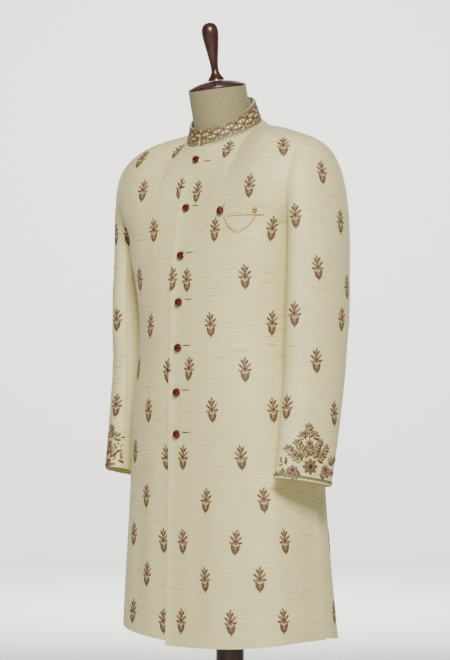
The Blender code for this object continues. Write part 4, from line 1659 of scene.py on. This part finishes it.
@dataclass
class Sherwani:
    """The coat with its trimmings."""

    finishes: Finishes
    camera: PhotoCamera
    panels: dict[str, bpy.types.Object] = field(default_factory=dict)
    extras: dict[str, list[bpy.types.Object]] = field(default_factory=dict)

    def cloth(self) -> SurfaceFinder:
        """Build all cloth pieces and braids."""
        for cut in CUTS:
            piece = Refined(cut.node, self.finishes.silk, "silk", ClothForm(cut.line, cut.node))
            self.panels[cut.node] = piece.build()
            self.extras[cut.node] = []
        welt = Refined("welt_pocket", self.finishes.silk, "silk").build()
        self.panels["welt_pocket"] = welt
        self.extras["front_left"].append(welt)
        for name in BRAIDS:
            line = CutLine.PLAIN
            if name == "cuff_braid_left":
                line = CutLine.SLEEVE_LEFT
            elif name == "cuff_braid_right":
                line = CutLine.SLEEVE_RIGHT
            Refined(name, self.finishes.braid, "braid", ClothForm(line)).build()
        return SurfaceFinder(self.panels)

    def embroidery(self, finder: SurfaceFinder) -> None:
        """Sew all needlework."""
        work = {
            name: Needlework(finder, f"{name}_embroidery", self.finishes)
            for name in self.panels
            if name != "welt_pocket"
        }
        butis = Butis(finder, self.camera)
        butis.plan()
        for needlework in work.values():
            needlework.fullness = BUTI_FULLNESS
        butis.sew(work)
        work["collar"].fullness = COLLAR_FULLNESS
        CollarWork(finder, work["collar"]).sew()
        eye = self.camera.position()
        work["front_left"].fullness = 1.0
        for column, row in BUTTONHOLES:
            spot = finder.cast(eye, self.camera.ray(column, row), ("front_left",))
            work["front_left"].add_motif(spot, BUTTONHOLE)
        self.outline_welt(finder, work["front_left"])
        for needlework in work.values():
            needlework.fullness = CUFF_FULLNESS
        ray = self.camera.ray(*CUFF_PIXEL)
        left = finder.cast(eye, ray, PANEL_GROUPS[1])
        broad, high = CUFF_STRETCH
        fan = [
            replace(lobe, right=lobe.right * broad, up=lobe.up * high + CUFF_RAISE)
            for lobe in CUFF_FAN
        ]
        work[left.panel].add_motif(left, fan)
        mirror = Matrix.Diagonal((-1.0, 1.0, 1.0))
        right = finder.cast(mirror @ eye, mirror @ self.camera.ray(*FAR_CUFF_PIXEL), PANEL_GROUPS[2])
        work[right.panel].add_motif(right, fan)
        for name, needlework in work.items():
            if needlework.target.faces:
                self.extras[name].append(needlework.finish())

    def outline_welt(self, finder: SurfaceFinder, needlework: Needlework) -> None:
        """Edge-stitch the welt along its foot, one end and its top."""
        eye = self.camera.position()
        for (x0, y0), (x1, y1) in zip(WELT_OUTLINE, WELT_OUTLINE[1:]):
            count = max(3, round(math.hypot(x1 - x0, y1 - y0) / 1.4))
            turn = -math.degrees(math.atan2(y1 - y0, x1 - x0))
            for number in range(count):
                share = (number + 0.5) / count
                ray = self.camera.ray(x0 + (x1 - x0) * share, y0 + (y1 - y0) * share)
                spot = finder.cast(eye, ray, ("welt_pocket", "front_left"))
                needlework.add_lobe(spot, Lobe(0, 0, 2.6, 0.7, turn, Yarn.BEIGE, 0.3), 0.0, 1.0)

    def trimmings(self, finder: SurfaceFinder) -> None:
        """Build buttons, brooch and chain."""
        for number in range(1, 8):
            node = f"button_{number}"
            low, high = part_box(node)
            origin = Vector(((low.x + high.x) / 2.0, -1.0, (low.z + high.z) / 2.0))
            spot = finder.cast(origin, Vector((0.0, 1.0, 0.0)), ("front_left",))
            self.extras["front_left"].append(Button(node, spot).build(self.finishes))
        brooch = Brooch(finder, self.finishes)
        brooch.head()
        brooch.pin()
        LinkChain().build(self.finishes.gold)


@dataclass
class DressForm:
    """Linen torso with turned wooden cap, finial, pole and base."""

    finishes: Finishes

    def build(self) -> None:
        """Build the form."""
        Refined("form_torso", self.finishes.linen, "linen").build()
        for node, slot in TURNED:
            material = self.finishes.base_wood if node == "base" else self.finishes.wood
            Refined(node, material, slot, sharp=TURNED_SHARP_ANGLE).build()


def main() -> None:
    """Build the scene in order."""
    logging.basicConfig(level=logging.INFO, format="%(name)s: %(message)s")
    finishes = Finishes()
    camera = PhotoCamera()
    DressForm(finishes).build()
    coat = Sherwani(finishes, camera)
    finder = coat.cloth()
    coat.embroidery(finder)
    coat.trimmings(finder)
    Studio(finishes.plaster).build()
    camera.build()


if __name__ == "__main__":
    main()
